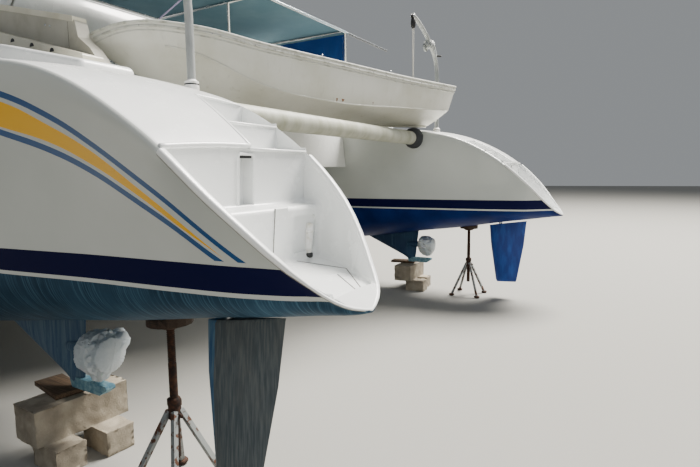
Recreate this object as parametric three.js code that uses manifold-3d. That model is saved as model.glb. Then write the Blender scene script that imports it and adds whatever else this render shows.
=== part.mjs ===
// Cruising sailing catamaran, laid up ashore: two hulls with stern steps, bridgedeck with saloon
// and cockpit, rig, tender on davits, and the blocks and stands that it rests on.
// Millimetres. In the boat group x runs forward from the stern tips, y to port from the
// centreline and z up from the boot-top line; the group then sets the part on the ground,
// amidships over the origin.
import * as THREE from 'three';
import { mergeVertices } from 'three/addons/utils/BufferGeometryUtils.js';
import Module from 'manifold-3d';

const wasm = await Module();
wasm.setup();

const LENGTH = 12200;      // stern tips to bows
const HULL_Y = 2550;       // boat's centreline to each hull's centreline
const GROUND = -1235;      // yard ground below the boot-top line
const GAP = 0.3;           // between pieces that touch
const CAMBER = 30;         // rise of a hull's deck from its edge to its middle
const SIDES = [{ name: 'port', sign: 1 }, { name: 'starboard', sign: -1 }];

const boat = new THREE.Group();
boat.position.set(-LENGTH / 2, 0, -GROUND);

// Finishes: colour, roughness and metalness.
const finish = (color, roughness, metalness = 0) =>
  new THREE.MeshStandardMaterial({ color, roughness, metalness });
const GELCOAT = finish('#e9e9e4', 0.25);
const DECK = finish('#f2f2ee', 0.3);
const ANTIFOUL = finish('#3d6482', 0.8);
const ROYAL = finish('#1c4585', 0.75);
const STEEL = finish('#c9cccf', 0.25, 1);
const ALLOY = finish('#a9adb0', 0.4, 1);
const CANVAS = finish('#1d3f86', 0.9);
const GLASS = finish('#20262b', 0.1);
const TENDER = finish('#dcd8c6', 0.45);
const PLASTIC = finish('#dfe4e6', 0.4);
const BRONZE = finish('#8f7a4a', 0.4, 1);
const RUST = finish('#5b4338', 0.8, 0.4);
const CONCRETE = finish('#a39b8d', 0.9);
const TIMBER = finish('#7d6a52', 0.85);
const NET = finish('#e3e3df', 0.8);
const LEATHER = finish('#2a3a5c', 0.7);

function add(name, shape, material) {
  const geometry = shape.isBufferGeometry ? shape : toGeometry(shape);
  const mesh = new THREE.Mesh(geometry, material);
  mesh.name = name;
  boat.add(mesh);
}

function toManifold(geometry) {
  if (!geometry.isBufferGeometry) return geometry;
  const plain = geometry.clone();
  plain.deleteAttribute('normal');
  plain.deleteAttribute('uv');
  const merged = mergeVertices(plain, 1e-4);
  const vertProperties = Float32Array.from(merged.attributes.position.array);
  const triVerts = Uint32Array.from(merged.index.array);
  const p = (i) => new THREE.Vector3(...vertProperties.slice(3 * i, 3 * i + 3));
  let volume = 0;
  for (let k = 0; k < triVerts.length; k += 3) {
    volume += p(triVerts[k]).dot(p(triVerts[k + 1]).cross(p(triVerts[k + 2])));
  }
  if (volume < 0) triVerts.reverse();
  return new wasm.Manifold(new wasm.Mesh({ numProp: 3, vertProperties, triVerts }));
}

function toGeometry(solid) {
  const mesh = solid.getMesh();
  const geometry = new THREE.BufferGeometry();
  geometry.setAttribute('position', new THREE.BufferAttribute(Float32Array.from(mesh.vertProperties), 3));
  geometry.setIndex(new THREE.BufferAttribute(Uint32Array.from(mesh.triVerts), 1));
  geometry.computeVertexNormals();
  return geometry;
}

const join = (...shapes) => shapes.map(toManifold).reduce((a, b) => a.add(b));
const cut = (shape, ...tools) => tools.reduce((a, b) => a.subtract(toManifold(b)), toManifold(shape));
const common = (a, b) => toManifold(a).intersect(toManifold(b));

// The same solid on the other side of the centreline.
function mirrored(shape) {
  const geometry = (shape.isBufferGeometry ? shape : toGeometry(shape)).clone();
  geometry.scale(1, -1, 1);
  const { array } = geometry.index;
  for (let k = 0; k < array.length; k += 3) [array[k], array[k + 1]] = [array[k + 1], array[k]];
  return geometry;
}
const onSide = (shape, side) => (side.sign > 0 ? toManifold(shape) : toManifold(mirrored(shape)));

const box = (x0, x1, y0, y1, z0, z1) =>
  new THREE.BoxGeometry(x1 - x0, y1 - y0, z1 - z0).translate((x0 + x1) / 2, (y0 + y1) / 2, (z0 + z1) / 2);

// A side profile of x, z points, standing from y0 to y1.
function sideProfile(points, y0, y1) {
  const shape = new THREE.Shape(points.map(([x, z]) => new THREE.Vector2(x, z)));
  return new THREE.ExtrudeGeometry(shape, { depth: y1 - y0, bevelEnabled: false })
    .rotateX(Math.PI / 2).translate(0, y1, 0);
}

// A straight round bar between two points.
function rod(from, to, radius, sides = 12) {
  const a = new THREE.Vector3(...from);
  const b = new THREE.Vector3(...to);
  const bar = new THREE.CylinderGeometry(radius, radius, a.distanceTo(b), sides);
  bar.applyQuaternion(new THREE.Quaternion().setFromUnitVectors(
    new THREE.Vector3(0, 1, 0), b.clone().sub(a).normalize()));
  return bar.translate(...a.add(b).multiplyScalar(0.5).toArray());
}

// A bent tube through points.
function tube(points, radius, steps = 16, sides = 12) {
  const path = new THREE.CatmullRomCurve3(points.map((p) => new THREE.Vector3(...p)), false, 'centripetal');
  const round = new THREE.Shape().absarc(0, 0, radius, 0, 2 * Math.PI);
  return new THREE.ExtrudeGeometry(round, { steps, curveSegments: sides, extrudePath: path });
}

// A closed skin over rings of equal length, capped at both ends.
function loft(rings) {
  const n = rings[0].length;
  const positions = rings.flat(2);
  const index = [];
  for (let r = 0; r + 1 < rings.length; r += 1) {
    for (let k = 0; k < n; k += 1) {
      const a = r * n + k;
      const b = r * n + ((k + 1) % n);
      index.push(a, b, b + n, a, b + n, a + n);
    }
  }
  for (const [ring, last] of [[0, false], [rings.length - 1, true]]) {
    const middle = [0, 1, 2].map((axis) => rings[ring].reduce((sum, p) => sum + p[axis], 0) / n);
    const centre = positions.length / 3;
    positions.push(...middle);
    for (let k = 0; k < n; k += 1) {
      const a = ring * n + k;
      const b = ring * n + ((k + 1) % n);
      index.push(...(last ? [a, b, centre] : [b, a, centre]));
    }
  }
  const geometry = new THREE.BufferGeometry();
  geometry.setAttribute('position', new THREE.Float32BufferAttribute(positions, 3));
  geometry.setIndex(index);
  return geometry;
}

const lerp = (a, b, t) => a + (b - a) * t;
// The value of a table's column at x, between the rows around it.
function column(rows, key, x) {
  const next = Math.max(1, Math.min(rows.length - 1, rows.findIndex((row) => row.x >= x)));
  const [a, b] = [rows[next - 1], rows[next]];
  return lerp(a[key], b[key], (x - a.x) / (b.x - a.x));
}
const table = (names, rows) => rows.map((row) => Object.fromEntries(names.map((name, k) => [name, row[k]])));

// Hull: each station has its keel line, half-beam at the boot-top, and deck edge.
const STATIONS = table(['x', 'rake', 'keel', 'waist', 'edge', 'deck'], [
  [0, 0, -98, 22, 26, -84],
  [30, 0, -104, 90, 122, -56],
  [125, 0, -116, 190, 250, 42],
  [364, 0, -150, 285, 430, 315],
  [729, 0, -201, 340, 502, 634],
  [1249, 0, -286, 388, 536, 904],
  [1873, 0, -368, 470, 606, 1018],
  [2706, 0, -486, 540, 716, 1082],
  [3747, 0, -590, 590, 784, 1170],
  [5204, 0, -660, 620, 834, 1245],
  [7000, 0, -670, 610, 846, 1290],
  [9000, 0, -570, 490, 760, 1330],
  [10600, 0, -400, 290, 560, 1362],
  [11500, 60, -240, 120, 320, 1385],
  [11960, 240, -60, 14, 34, 1400],
]);
const BILGE_STEPS = 5;     // from keel to boot-top
const TOPSIDE_STEPS = 3;   // from boot-top to deck edge

// A hull's skin about its own centreline. grow swells it for a neighbour's seat, inset draws
// its sides in for the hollow of the stern steps, lift carries its deck edge straight up.
function hullSkin({ grow = 0, inset = 0, lift = 0 } = {}) {
  return loft(STATIONS.map((s) => {
    const out = grow - inset;
    const edge = Math.max(4, s.edge + out);
    const waist = Math.max(3, s.waist + out);
    const waistZ = Math.min(0, lerp(s.keel, s.deck, 0.55));
    const side = [];
    for (let k = 0; k <= BILGE_STEPS; k += 1) {
      const turn = (k / BILGE_STEPS) * Math.PI / 2;
      side.push([waist * Math.sin(turn), waistZ - (waistZ - s.keel + grow) * Math.cos(turn)]);
    }
    for (let k = 1; k <= TOPSIDE_STEPS; k += 1) {
      const t = k / TOPSIDE_STEPS;
      side.push([lerp(waist, edge, t ** 1.25), lerp(waistZ, s.deck + grow, t)]);
    }
    if (lift > 0) side.push([edge, s.deck + lift]);
    const deck = [[edge * 0.5, s.deck + grow + lift + CAMBER * 0.75 * (s.edge / 600)],
      [0, s.deck + grow + lift + CAMBER * (s.edge / 600)]];
    const half = [...side, ...deck];
    const other = half.slice(1, -1).reverse().map(([y, z]) => [-y, z]);
    return [...half, ...other].map(([y, z]) =>
      [s.x + s.rake * Math.max(0, (z - s.keel) / (s.deck - s.keel)), y, z]);
  }));
}
const hullGrown = toManifold(hullSkin({ grow: GAP }).translate(0, HULL_Y, 0));
const bothHulls = join(hullGrown, mirrored(hullGrown));

// Stern steps: treads and risers of the hollow between the bulwarks, from the ledge down to
// the bathing platform, with a slot for the ladder and two shallow steps inboard of it.
const BULWARK = 24;
const LEDGE_X = 640;
const TREAD_Z = 300;
const TREAD_X = 545;
const PLATFORM_Z = 30;
const stepWell = common(
  hullSkin({ inset: BULWARK, lift: 500 }),
  sideProfile([[70, -30], [570, PLATFORM_Z], [TREAD_X, TREAD_Z], [LEDGE_X + 20, TREAD_Z + 10],
    [LEDGE_X, 700], [LEDGE_X, 1200], [0, 1200]], -700, 700),
);
const ladderSlot = box(LEDGE_X - 10, LEDGE_X + 75, -58, 36, 318, 540);
const SHALLOW_STEPS = table(['from', 'to', 'z'], [[640, 849, 568], [849, 1105, 715]]);
const outerWall = (x) => -35 - (x - LEDGE_X) * 0.28;    // of the shallow steps, in plan
const shallowSteps = SHALLOW_STEPS.map(({ from, to, z }) => common(
  hullSkin({ inset: BULWARK, lift: 500 }),
  loft([z, 1200].map((top) => [[from, -600, top], [to, -600, top], [to, outerWall(to), top], [from, outerWall(from), top]])),
));

// Rudder stock and shaft line, shared by the hull's bores and the gear.
const STOCK_X = 770;
const STOCK_R = 22;
const STOCK_TOP = -60;
const SHAFT_Z = -575;

// Hatches on each hull's deck, whose coamings are moulded with it.
const LIDS = table(['name', 'x', 'y', 'length', 'width', 'z'], [
  ['foredeck_hatch', 8800, 2550, 520, 520, 1376], ['engine_hatch', 3300, 2740, 620, 420, 1215]]);
const LID_THICK = 34;
const COAMING_IN = 15;      // a hatch coaming's edge inside its lid's
const hatchCoamings = LIDS.map(({ x, y, length, width, z }) => box(
  x - length / 2 + COAMING_IN, x + length / 2 - COAMING_IN,
  y - HULL_Y - width / 2 + COAMING_IN, y - HULL_Y + width / 2 - COAMING_IN, z - 200, z - GAP));

const hull = cut(join(hullSkin(), ...hatchCoamings), stepWell, ladderSlot, ...shallowSteps,
  rod([STOCK_X, 0, -400], [STOCK_X, 0, STOCK_TOP + 1], STOCK_R + 0.6, 24));
for (const side of SIDES) {
  add(`${side.name}_hull`, onSide(toGeometry(hull).translate(0, HULL_Y, 0), side), GELCOAT);
}

// Foil section ring: leading and trailing x, half thickness, height at both edges, and how far
// it stands outboard.
const FOIL = [[0, 0], [0.04, 0.55], [0.15, 0.9], [0.35, 1], [0.65, 0.72], [1, 0.06]];
function foil(lead, trail, half, leadZ, trailZ = leadZ, out = 0) {
  const face = FOIL.map(([t, w]) => [lerp(lead, trail, t), w * half, lerp(leadZ, trailZ, t)]);
  return [...face, ...face.slice(1).reverse().map(([x, y, z]) => [x, -y, z])].map(([x, y, z]) => [x, y + out, z]);
}

// Mini keel, skeg with heel, spade rudder, propeller on its shaft, and the bag tied over it.
const KEEL_BOTTOM = -1130;
const miniKeel = cut(loft([
  foil(7250, 4500, 130, -300), foil(7250, 4500, 130, -560),
  foil(6950, 4850, 95, KEEL_BOTTOM + 60), foil(6880, 4900, 70, KEEL_BOTTOM),
]).translate(0, HULL_Y, 0), hullGrown);

const HEEL_Z = -833;
const heel = sideProfile([[1711, HEEL_Z + 66], [1813, HEEL_Z], [2090, HEEL_Z], [2110, HEEL_Z + 66]], -32, 32);
const skeg = cut(join(
  loft([foil(3100, 1925, 60, -250), foil(2744, 1947, 60, -500, -402), foil(2090, 1993, 34, -800, -764)]),
  heel,
  rod([2140, 0, SHAFT_Z], [1930, 0, SHAFT_Z], 42, 16),
).translate(0, HULL_Y, 0), hullGrown, rod([2130, HULL_Y, SHAFT_Z], [1900, HULL_Y, SHAFT_Z], 15.6, 24));

const rudder = join(
  loft([foil(916, 434, 38, -250, -182), foil(900, 470, 34, -500, -500, 25), foil(834, 560, 22, -1000, -990, 67),
    foil(815, 575, 12, -1028, -1014, 69)]),
  rod([STOCK_X, 0, -420], [STOCK_X, 0, STOCK_TOP], STOCK_R, 24),
).translate(0, HULL_Y, 0);

const PROP_X = 1835;
const PROP_R = 120;
const BLADE = { from: 22, width: 70, thick: 7, pitch: 32 };
const bladeOutline = new THREE.Shape().absellipse(0, (BLADE.from + PROP_R) / 2,
  BLADE.width / 2, (PROP_R - BLADE.from) / 2, 0, 2 * Math.PI);
const blade = (turn) => new THREE.ExtrudeGeometry(bladeOutline,
  { depth: BLADE.thick, bevelEnabled: false, curveSegments: 7 })
  .translate(0, 0, -BLADE.thick / 2).rotateY(THREE.MathUtils.degToRad(90 - BLADE.pitch)).rotateX(turn);
const propeller = toGeometry(join(
  rod([-60, 0, 0], [50, 0, 0], 32, 16), rod([40, 0, 0], [2120 - PROP_X, 0, 0], 15, 24),
  ...[0, 1, 2].map((k) => blade(k * 2 * Math.PI / 3)),
)).translate(PROP_X, HULL_Y, SHAFT_Z);

// Bag: a thin closed skin of revolution round the propeller, its mouth drawn in on the shaft.
const BAG = table(['x', 'radius'], [[1946, 49], [1930, 49], [1910, 104], [1880, 146], [1835, 158], [1785, 150], [1740, 118], [1712, 72], [1700, 0]]);
const BAG_SKIN = 6;
const bagOuter = BAG.map(({ x, radius }) => new THREE.Vector2(radius, x));
const bagInner = BAG.slice().reverse().map(({ x, radius }) =>
  new THREE.Vector2(Math.max(0, radius - BAG_SKIN), radius ? x : x + 2 * BAG_SKIN));
const bag = new THREE.LatheGeometry([...bagInner, ...bagOuter], 20)
  .rotateZ(-Math.PI / 2).translate(0, HULL_Y, SHAFT_Z);

for (const side of SIDES) {
  add(`${side.name}_keel`, onSide(miniKeel, side), ANTIFOUL);
  add(`${side.name}_skeg`, onSide(skeg, side), ANTIFOUL);
  add(`${side.name}_rudder`, onSide(rudder, side), side.sign > 0 ? ANTIFOUL : ROYAL);
  add(`${side.name}_propeller`, onSide(propeller, side), BRONZE);
  add(`${side.name}_propeller_bag`, onSide(bag, side), PLASTIC);
}

// What the boat stands on: timbers under the mini keels, a concrete sleeper on two short blocks
// with timber packing under each skeg heel, and four screw jack stands under the hull ends.
const timber = box(4950, 6850, HULL_Y - 150, HULL_Y + 150, GROUND, KEEL_BOTTOM - GAP);
const SLEEPER = { x: 2100, y: 2572, length: 575, width: 250, turn: -3, top: -865, depth: 220 };
const BLOCKS = table(['aft', 'fore', 'inner', 'outer'], [[-290, -20, -212, -32], [-250, 20, 68, 248]]);
const PACKING = { x: 2205, y: 2595, length: 350, width: 170, turn: -10 };
const about = (shape, { x, y, turn }) =>
  shape.rotateZ(THREE.MathUtils.degToRad(turn)).translate(x, y, 0);
const sleeper = join(
  about(box(-SLEEPER.width / 2, SLEEPER.width / 2, -SLEEPER.length / 2, SLEEPER.length / 2,
    SLEEPER.top - SLEEPER.depth, SLEEPER.top), SLEEPER),
  ...BLOCKS.map(({ aft, fore, inner, outer }) =>
    about(box(aft, fore, inner, outer, GROUND, SLEEPER.top - SLEEPER.depth + 5), SLEEPER)));
const packing = about(box(-PACKING.length / 2, PACKING.length / 2, -PACKING.width / 2, PACKING.width / 2,
  SLEEPER.top + GAP, HEEL_Z - GAP), PACKING);

const STANDS = table(['end', 'x', 'reach', 'collar'], [['aft', 1200, 250, -790], ['forward', 9700, 300, -820]]);
const PAD_DEPTH = 32;
function jackStand({ x, reach, collar }) {
  const top = column(STATIONS, 'keel', x);
  const legs = [45, 135, 225, 315].flatMap((degrees) => {
    const a = THREE.MathUtils.degToRad(degrees);
    const foot = [x + reach * Math.cos(a), reach * Math.sin(a)];
    return [rod([x, 0, collar], [...foot, GROUND + 14], 15, 8),
      rod([...foot, GROUND], [...foot, GROUND + 16], 38, 10)];
  });
  return join(rod([x, 0, top - PAD_DEPTH + 10], [x, 0, -1050], 22, 12), rod([x, 0, collar - 40], [x, 0, collar + 30], 34, 12),
    cut(rod([x, 0, top - PAD_DEPTH], [x, 0, top + 60], 120, 16), hullSkin({ grow: GAP })), ...legs);
}
for (const side of SIDES) {
  add(`${side.name}_keel_timber`, onSide(timber, side), TIMBER);
  add(`${side.name}_sleeper`, onSide(sleeper, side), CONCRETE);
  add(`${side.name}_packing`, onSide(packing, side), TIMBER);
  for (const stand of STANDS) {
    add(`${side.name}_${stand.end}_stand`,
      onSide(toGeometry(jackStand(stand)).translate(0, HULL_Y, 0), side), RUST);
  }
}

// Bridgedeck: a block between the hulls with the well for cockpit and saloon let in from above.
const DECK_AFT = 2790;
const SOLE_Z = 660;
const UNDER_Z = 545;
const WELL_Y = 1400;
const TRANSOM_Z = 960;      // top of the wall aft of the cockpit
const ROOF_AFT = 4560;      // aft face of the saloon
const FRONT_X = 8450;
const bridgeBlock = cut(
  sideProfile([[DECK_AFT, UNDER_Z], [8300, 600], [8950, 1060], [8950, 1270], [7000, 1240], [5204, 1195],
    [3747, 1120], [DECK_AFT, 1040]], -HULL_Y, HULL_Y),
  bothHulls,
  box(DECK_AFT + 140, FRONT_X - 200, -WELL_Y, WELL_Y, SOLE_Z, 2000),
  box(DECK_AFT - 10, DECK_AFT + 150, -WELL_Y, WELL_Y, TRANSOM_Z, 2000),
);
// Only the part between the hulls is kept; the cut leaves none beyond their centrelines.
add('bridgedeck', common(bridgeBlock, box(0, LENGTH, -HULL_Y + 80, HULL_Y - 80, -600, 2000)), GELCOAT);

// Saloon: a moulded coachroof on the bridgedeck, its aft bulkhead with the doorway, a bonded
// band of dark glazing round sides and front, and the settee and table that show through it.
const ROOF_WALL = 40;
const ROOF = table(['z', 'aft', 'half', 'shoulder', 'front'], [
  [1000, ROOF_AFT, 1700, 7300, 8420], [1330, ROOF_AFT, 1690, 7200, 8330], [1960, ROOF_AFT, 1560, 6700, 7560],
  [2280, ROOF_AFT, 1440, 6300, 7040], [2440, ROOF_AFT, 1180, 5900, 6560],
]);
const BEND_STEPS = 10;
const SHELF = 2.6;          // squareness of the coachroof's front in plan
function coachroof({ grow = 0 } = {}) {
  return loft(ROOF.map((r, row) => {
    const bend = [];
    for (let k = 0; k <= BEND_STEPS; k += 1) {
      const a = (k / BEND_STEPS - 0.5) * Math.PI;
      const [s, c] = [Math.sin(a), Math.cos(a)];
      bend.push([r.shoulder + (r.front + grow - r.shoulder) * c ** (2 / SHELF),
        (r.half + grow) * Math.sign(s) * Math.abs(s) ** (2 / SHELF)]);
    }
    return [[r.aft, -r.half - grow], ...bend, [r.aft, r.half + grow]]
      .map(([x, y]) => [x, y, r.z + (row === ROOF.length - 1 ? grow : 0)]);
  }));
}
const WINDOW_Z = [1500, 1880];
const WINDOWS = table(['name', 'from', 'to', 'ways'], [['after', 4950, 5900, 'side'], ['middle', 6050, 6900, 'side']]);
const FRONT_PANES = table(['from', 'to'], [[-1180, -620], [-540, 540], [620, 1180]]);
const windowTools = [
  ...WINDOWS.map(({ from, to }) => box(from, to, -2200, 2200, ...WINDOW_Z)),
  ...FRONT_PANES.map(({ from, to }) => box(7000, 9000, from, to, ...WINDOW_Z)),
];
const ROOF_HATCH = { x: 5300, y: 0, length: 520, width: 520, z: 2470 };
const roofHatchRim = (inset) => box(ROOF_HATCH.x - 260 + inset, ROOF_HATCH.x + 260 - inset,
  -260 + inset, 260 - inset, 2300, ROOF_HATCH.z);
const bridgeGrown = sideProfile([[DECK_AFT, 500], [8950, 500], [8950, 1270 + GAP], [7000, 1240 + GAP],
  [5204, 1195 + GAP], [3747, 1120 + GAP], [DECK_AFT, 1040 + GAP]], -HULL_Y, HULL_Y);
const roofShell = cut(
  join(cut(coachroof(), coachroof({ grow: -ROOF_WALL }).translate(-1, 0, 0)),
    cut(roofHatchRim(COAMING_IN), box(4000, 8000, -1000, 1000, 2000, 2420))),
  ...windowTools, roofHatchRim(45).translate(0, 0, 20),
  bridgeGrown, bothHulls);
add('coachroof', roofShell, DECK);

const DOOR = { from: -800, to: -120, sill: 780, head: 2180, slide: 700, thick: 28 };
const bridgeWings = cut(bridgeGrown,
  box(0, FRONT_X - 200 - GAP, -WELL_Y + GAP, WELL_Y - GAP, SOLE_Z + GAP, 2000));
const PANEL = { aft: ROOF_AFT + 5, fore: ROOF_AFT + 45 };
const bulkhead = cut(
  join(common(coachroof({ grow: -ROOF_WALL - GAP }), box(PANEL.aft, PANEL.fore, -2000, 2000, 1000, 2600)),
    box(PANEL.aft, PANEL.fore, -1660, 1660, SOLE_Z + GAP, 1100),
    box(PANEL.aft - 36, PANEL.aft + 5, -1420, 0, DOOR.head + 0.5, DOOR.head + 32),
    box(PANEL.aft - 36, PANEL.aft + 5, -1420, 0, DOOR.sill - 84, DOOR.sill - 60.5)),
  box(PANEL.aft - 50, PANEL.fore + 50, DOOR.from + 60, DOOR.to - 60, DOOR.sill, DOOR.head - 60),
  bridgeWings, bothHulls);
add('saloon_bulkhead', bulkhead, DECK);
add('saloon_door', box(PANEL.aft - 5 - DOOR.thick, PANEL.aft - 5, DOOR.from, DOOR.to, DOOR.sill - 60, DOOR.head), DECK);

const glazingBand = cut(
  common(coachroof({ grow: 7 }), box(ROOF_AFT + 320, FRONT_X, -2200, 2200, WINDOW_Z[0] - 60, WINDOW_Z[1] + 60)),
  coachroof({ grow: GAP }));
add('saloon_glazing', glazingBand, GLASS);

const settee = cut(box(6300, 7900, -1250, 1250, SOLE_Z + GAP, 1080),
  box(6000, 7350, -800, 800, 0, 3000), bridgeWings);
const table_ = join(rod([6800, 0, SOLE_Z + GAP], [6800, 0, 1300], 50, 12), box(6420, 7180, -430, 430, 1290, 1320));
add('settee', settee, LEATHER);
add('saloon_table', table_, TIMBER);

// Cockpit: seats round the well, coamings that sweep up to the coachroof, raised mouldings on
// the hull decks outboard of them, and a wheel on the bulkhead.
const SEAT_Z = 980;
const seats = cut(box(DECK_AFT + 140 + GAP, 4300, -WELL_Y + GAP, WELL_Y - GAP, SOLE_Z + GAP, SEAT_Z),
  box(DECK_AFT + 680, 4400, -850, 850, 0, 2000));
add('cockpit_seats', seats, DECK);

const COAMING = [[2840, 1000], [2840, 1330], [2960, 1470], [3130, 1600], [3800, 1880], [4400, 2080],
  [ROOF_AFT - GAP, 2120], [ROOF_AFT - GAP, 1000]];
const coaming = cut(sideProfile(COAMING, 1620, 1730), bridgeGrown, bothHulls);
const DECK_BOX = [[1900, 950], [1900, 1070], [1960, 1120], [2060, 1150], [3100, 1400], [4400, 1500], [4560, 1500], [4560, 950]];
const BOX_END = 2260;
const deckBox = cut(sideProfile(DECK_BOX, 1990, 2380), bothHulls, bridgeGrown);
for (const side of SIDES) {
  add(`${side.name}_coaming`, onSide(coaming, side), DECK);
  // The starboard one ends farther forward, clear of the tender's quarter.
  add(`${side.name}_deck_box`,
    onSide(side.sign > 0 ? deckBox : cut(deckBox, box(0, BOX_END, 0, 3000, 0, 2000)), side), DECK);
}

const WHEEL = { x: 4330, y: 820, z: 1560, radius: 330, rim: 14 };
const wheel = toGeometry(join(
  new THREE.TorusGeometry(WHEEL.radius, WHEEL.rim, 8, 32),
  ...[0, 1, 2, 3, 4].map((k) => rod([0, 0, 0],
    [WHEEL.radius * Math.cos(k * 0.4 * Math.PI), WHEEL.radius * Math.sin(k * 0.4 * Math.PI), 0], 8, 8)),
  rod([0, 0, -20], [0, 0, 24], 40, 16), rod([0, 0, 20], [0, 0, PANEL.aft - WHEEL.x - 80 - GAP], 14, 16),
)).rotateY(Math.PI / 2).translate(WHEEL.x, WHEEL.y, WHEEL.z);
add('helm_wheel', wheel, STEEL);
add('helm_housing', cut(rod([PANEL.aft - 80, WHEEL.y, WHEEL.z], [PANEL.aft - GAP, WHEEL.y, WHEEL.z], 110, 20)), DECK);

// Awning over the cockpit: canvas on posts and a long cross pole, with a curtain to starboard.
const AWNING = { aft: 2790, fore: 4500, half: 2000, z: 2400, thick: 12 };
add('awning', box(AWNING.aft - 20, AWNING.fore, -AWNING.half, AWNING.half, AWNING.z, AWNING.z + AWNING.thick), CANVAS);
const POST_R = 15;
const PROP_POST = { x: 3260, y: -175 };   // under the awning's middle, on the aft seat
const frameTop = AWNING.z - GAP - POST_R;
const awningFrame = cut(join(
  rod([AWNING.aft, -3230, frameTop], [AWNING.aft, 3230, frameTop], POST_R, 10),
  rod([AWNING.fore - 60, -AWNING.half, frameTop], [AWNING.fore - 60, AWNING.half, frameTop], POST_R, 10),
  rod([AWNING.aft, -1955, 900], [AWNING.aft, -1955, frameTop], POST_R, 10),
  rod([PROP_POST.x, PROP_POST.y, SEAT_Z + GAP], [PROP_POST.x, PROP_POST.y, frameTop], POST_R, 10),
  rod([AWNING.aft, PROP_POST.y, frameTop], [AWNING.fore - 60, PROP_POST.y, frameTop], POST_R, 10),
  ...[-1, 1].flatMap((s) => [
    rod([AWNING.fore - 60, s * 1900, 900], [AWNING.fore - 60, s * 1900, frameTop], POST_R, 10),
    rod([AWNING.aft, s * 1900, frameTop], [AWNING.fore - 60, s * 1900, frameTop], POST_R, 10)]),
), bothHulls, bridgeGrown, toGeometry(deckBoxGrown()), mirrored(deckBoxGrown()));
function deckBoxGrown() {
  return toManifold(sideProfile(DECK_BOX.map(([x, z]) => [x < 3000 ? x - GAP : x + GAP, z > 1000 ? z + GAP : z]), 1990 - GAP, 2380 + GAP));
}
add('awning_frame', awningFrame, STEEL);
add('side_curtain', box(AWNING.aft + 40, 3950, -AWNING.half, -AWNING.half + 6, 1950, AWNING.z - GAP), CANVAS);

// Rig: mast on the coachroof, boom with its stowed sail, furled headsail on the forestay, and
// one shroud a side.
const MAST = { x: 6350, foot: 2440, head: 15600, half: [105, 68] };
function mastSkin(grow = 0, foot = MAST.foot + GAP) {
  const ring = (z, taper) => Array.from({ length: 16 }, (_, k) => {
    const a = (k / 16) * 2 * Math.PI;
    return [MAST.x + (MAST.half[0] * taper + grow) * Math.cos(a), (MAST.half[1] * taper + grow) * Math.sin(a), z];
  });
  return loft([ring(foot, 1), ring(MAST.head - 3000, 1), ring(MAST.head, 0.7)]);
}
const SPREADER_Z = 8900;
const STAY_Z = 14300;
const BOOM = { z: 3450, aft: 1900, fore: 6080, half: 80, pivot: 6200, eye: 24, tongue: 16 };
const lug = (under) => join(box(BOOM.pivot, MAST.x, -BOOM.eye, BOOM.eye, under, under + 12),
  rod([BOOM.pivot, 0, under], [BOOM.pivot, 0, under + 12], BOOM.eye, 16));
const mast = join(mastSkin(), lug(BOOM.z + BOOM.tongue + GAP), lug(BOOM.z - BOOM.tongue - GAP - 12),
  ...[-1, 1].map((s) => rod([MAST.x, 0, SPREADER_Z], [MAST.x - 180, s * 820, SPREADER_Z + 60], 22, 8)));
add('mast', mast, ALLOY);
const boom = join(rod([BOOM.aft, 0, BOOM.z], [BOOM.fore, 0, BOOM.z], BOOM.half, 16),
  box(BOOM.fore - 40, BOOM.pivot, -20, 20, BOOM.z - BOOM.tongue, BOOM.z + BOOM.tongue),
  rod([BOOM.pivot, 0, BOOM.z - BOOM.tongue], [BOOM.pivot, 0, BOOM.z + BOOM.tongue], BOOM.eye, 16));
add('boom', boom, ALLOY);
const sailBundle = loft([[BOOM.aft + 120, 60, 90], [BOOM.aft + 900, 110, 200], [4800, 130, 300], [BOOM.fore - 180, 120, 420]]
  .map(([x, half, height]) => Array.from({ length: 12 }, (_, k) => {
    const a = (k / 12) * 2 * Math.PI;
    return [x, half * Math.cos(a), BOOM.z + BOOM.half + GAP + height / 2 + height / 2 * Math.sin(a)];
  })));
add('stowed_mainsail', sailBundle, CANVAS);

const BEAM = { x: 11350, z: 1265, radius: 75 };
const mastGrown = mastSkin(GAP, 1000);
const beamGrown = rod([BEAM.x, -3000, BEAM.z], [BEAM.x, 3000, BEAM.z], BEAM.radius + GAP, 24);
const stayFoot = [BEAM.x + 20, 0, BEAM.z + 40];
const stayHead = [MAST.x, 0, STAY_Z];
const along = (t) => stayFoot.map((v, k) => lerp(v, stayHead[k], t));
const headsail = cut(join(
  rod(stayFoot, stayHead, 12, 8), rod(along(0.012), along(0.026), 80, 16),
  rod(along(0.04), along(0.5), 58, 12), rod(along(0.495), along(0.93), 40, 12)), beamGrown, mastGrown);
add('furled_headsail', headsail, CANVAS);
const CHAINPLATE = { x: 5500, y: 3290, z: 1150 };
const shroud = cut(join(
  rod([CHAINPLATE.x, CHAINPLATE.y, CHAINPLATE.z], [MAST.x - 150, 830, SPREADER_Z + 62], 7, 8),
  rod([MAST.x - 150, 830, SPREADER_Z + 62], [MAST.x, 0, STAY_Z - 100], 7, 8),
  rod([CHAINPLATE.x + 22, CHAINPLATE.y - 60, CHAINPLATE.z + 90], [CHAINPLATE.x + 40, CHAINPLATE.y - 110, CHAINPLATE.z + 440], 16, 10),
), bothHulls, mastGrown, rod([MAST.x, 0, SPREADER_Z], [MAST.x - 180, 820, SPREADER_Z + 60], 22 + GAP, 8));
for (const side of SIDES) add(`${side.name}_shroud`, onSide(shroud, side), STEEL);

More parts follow.
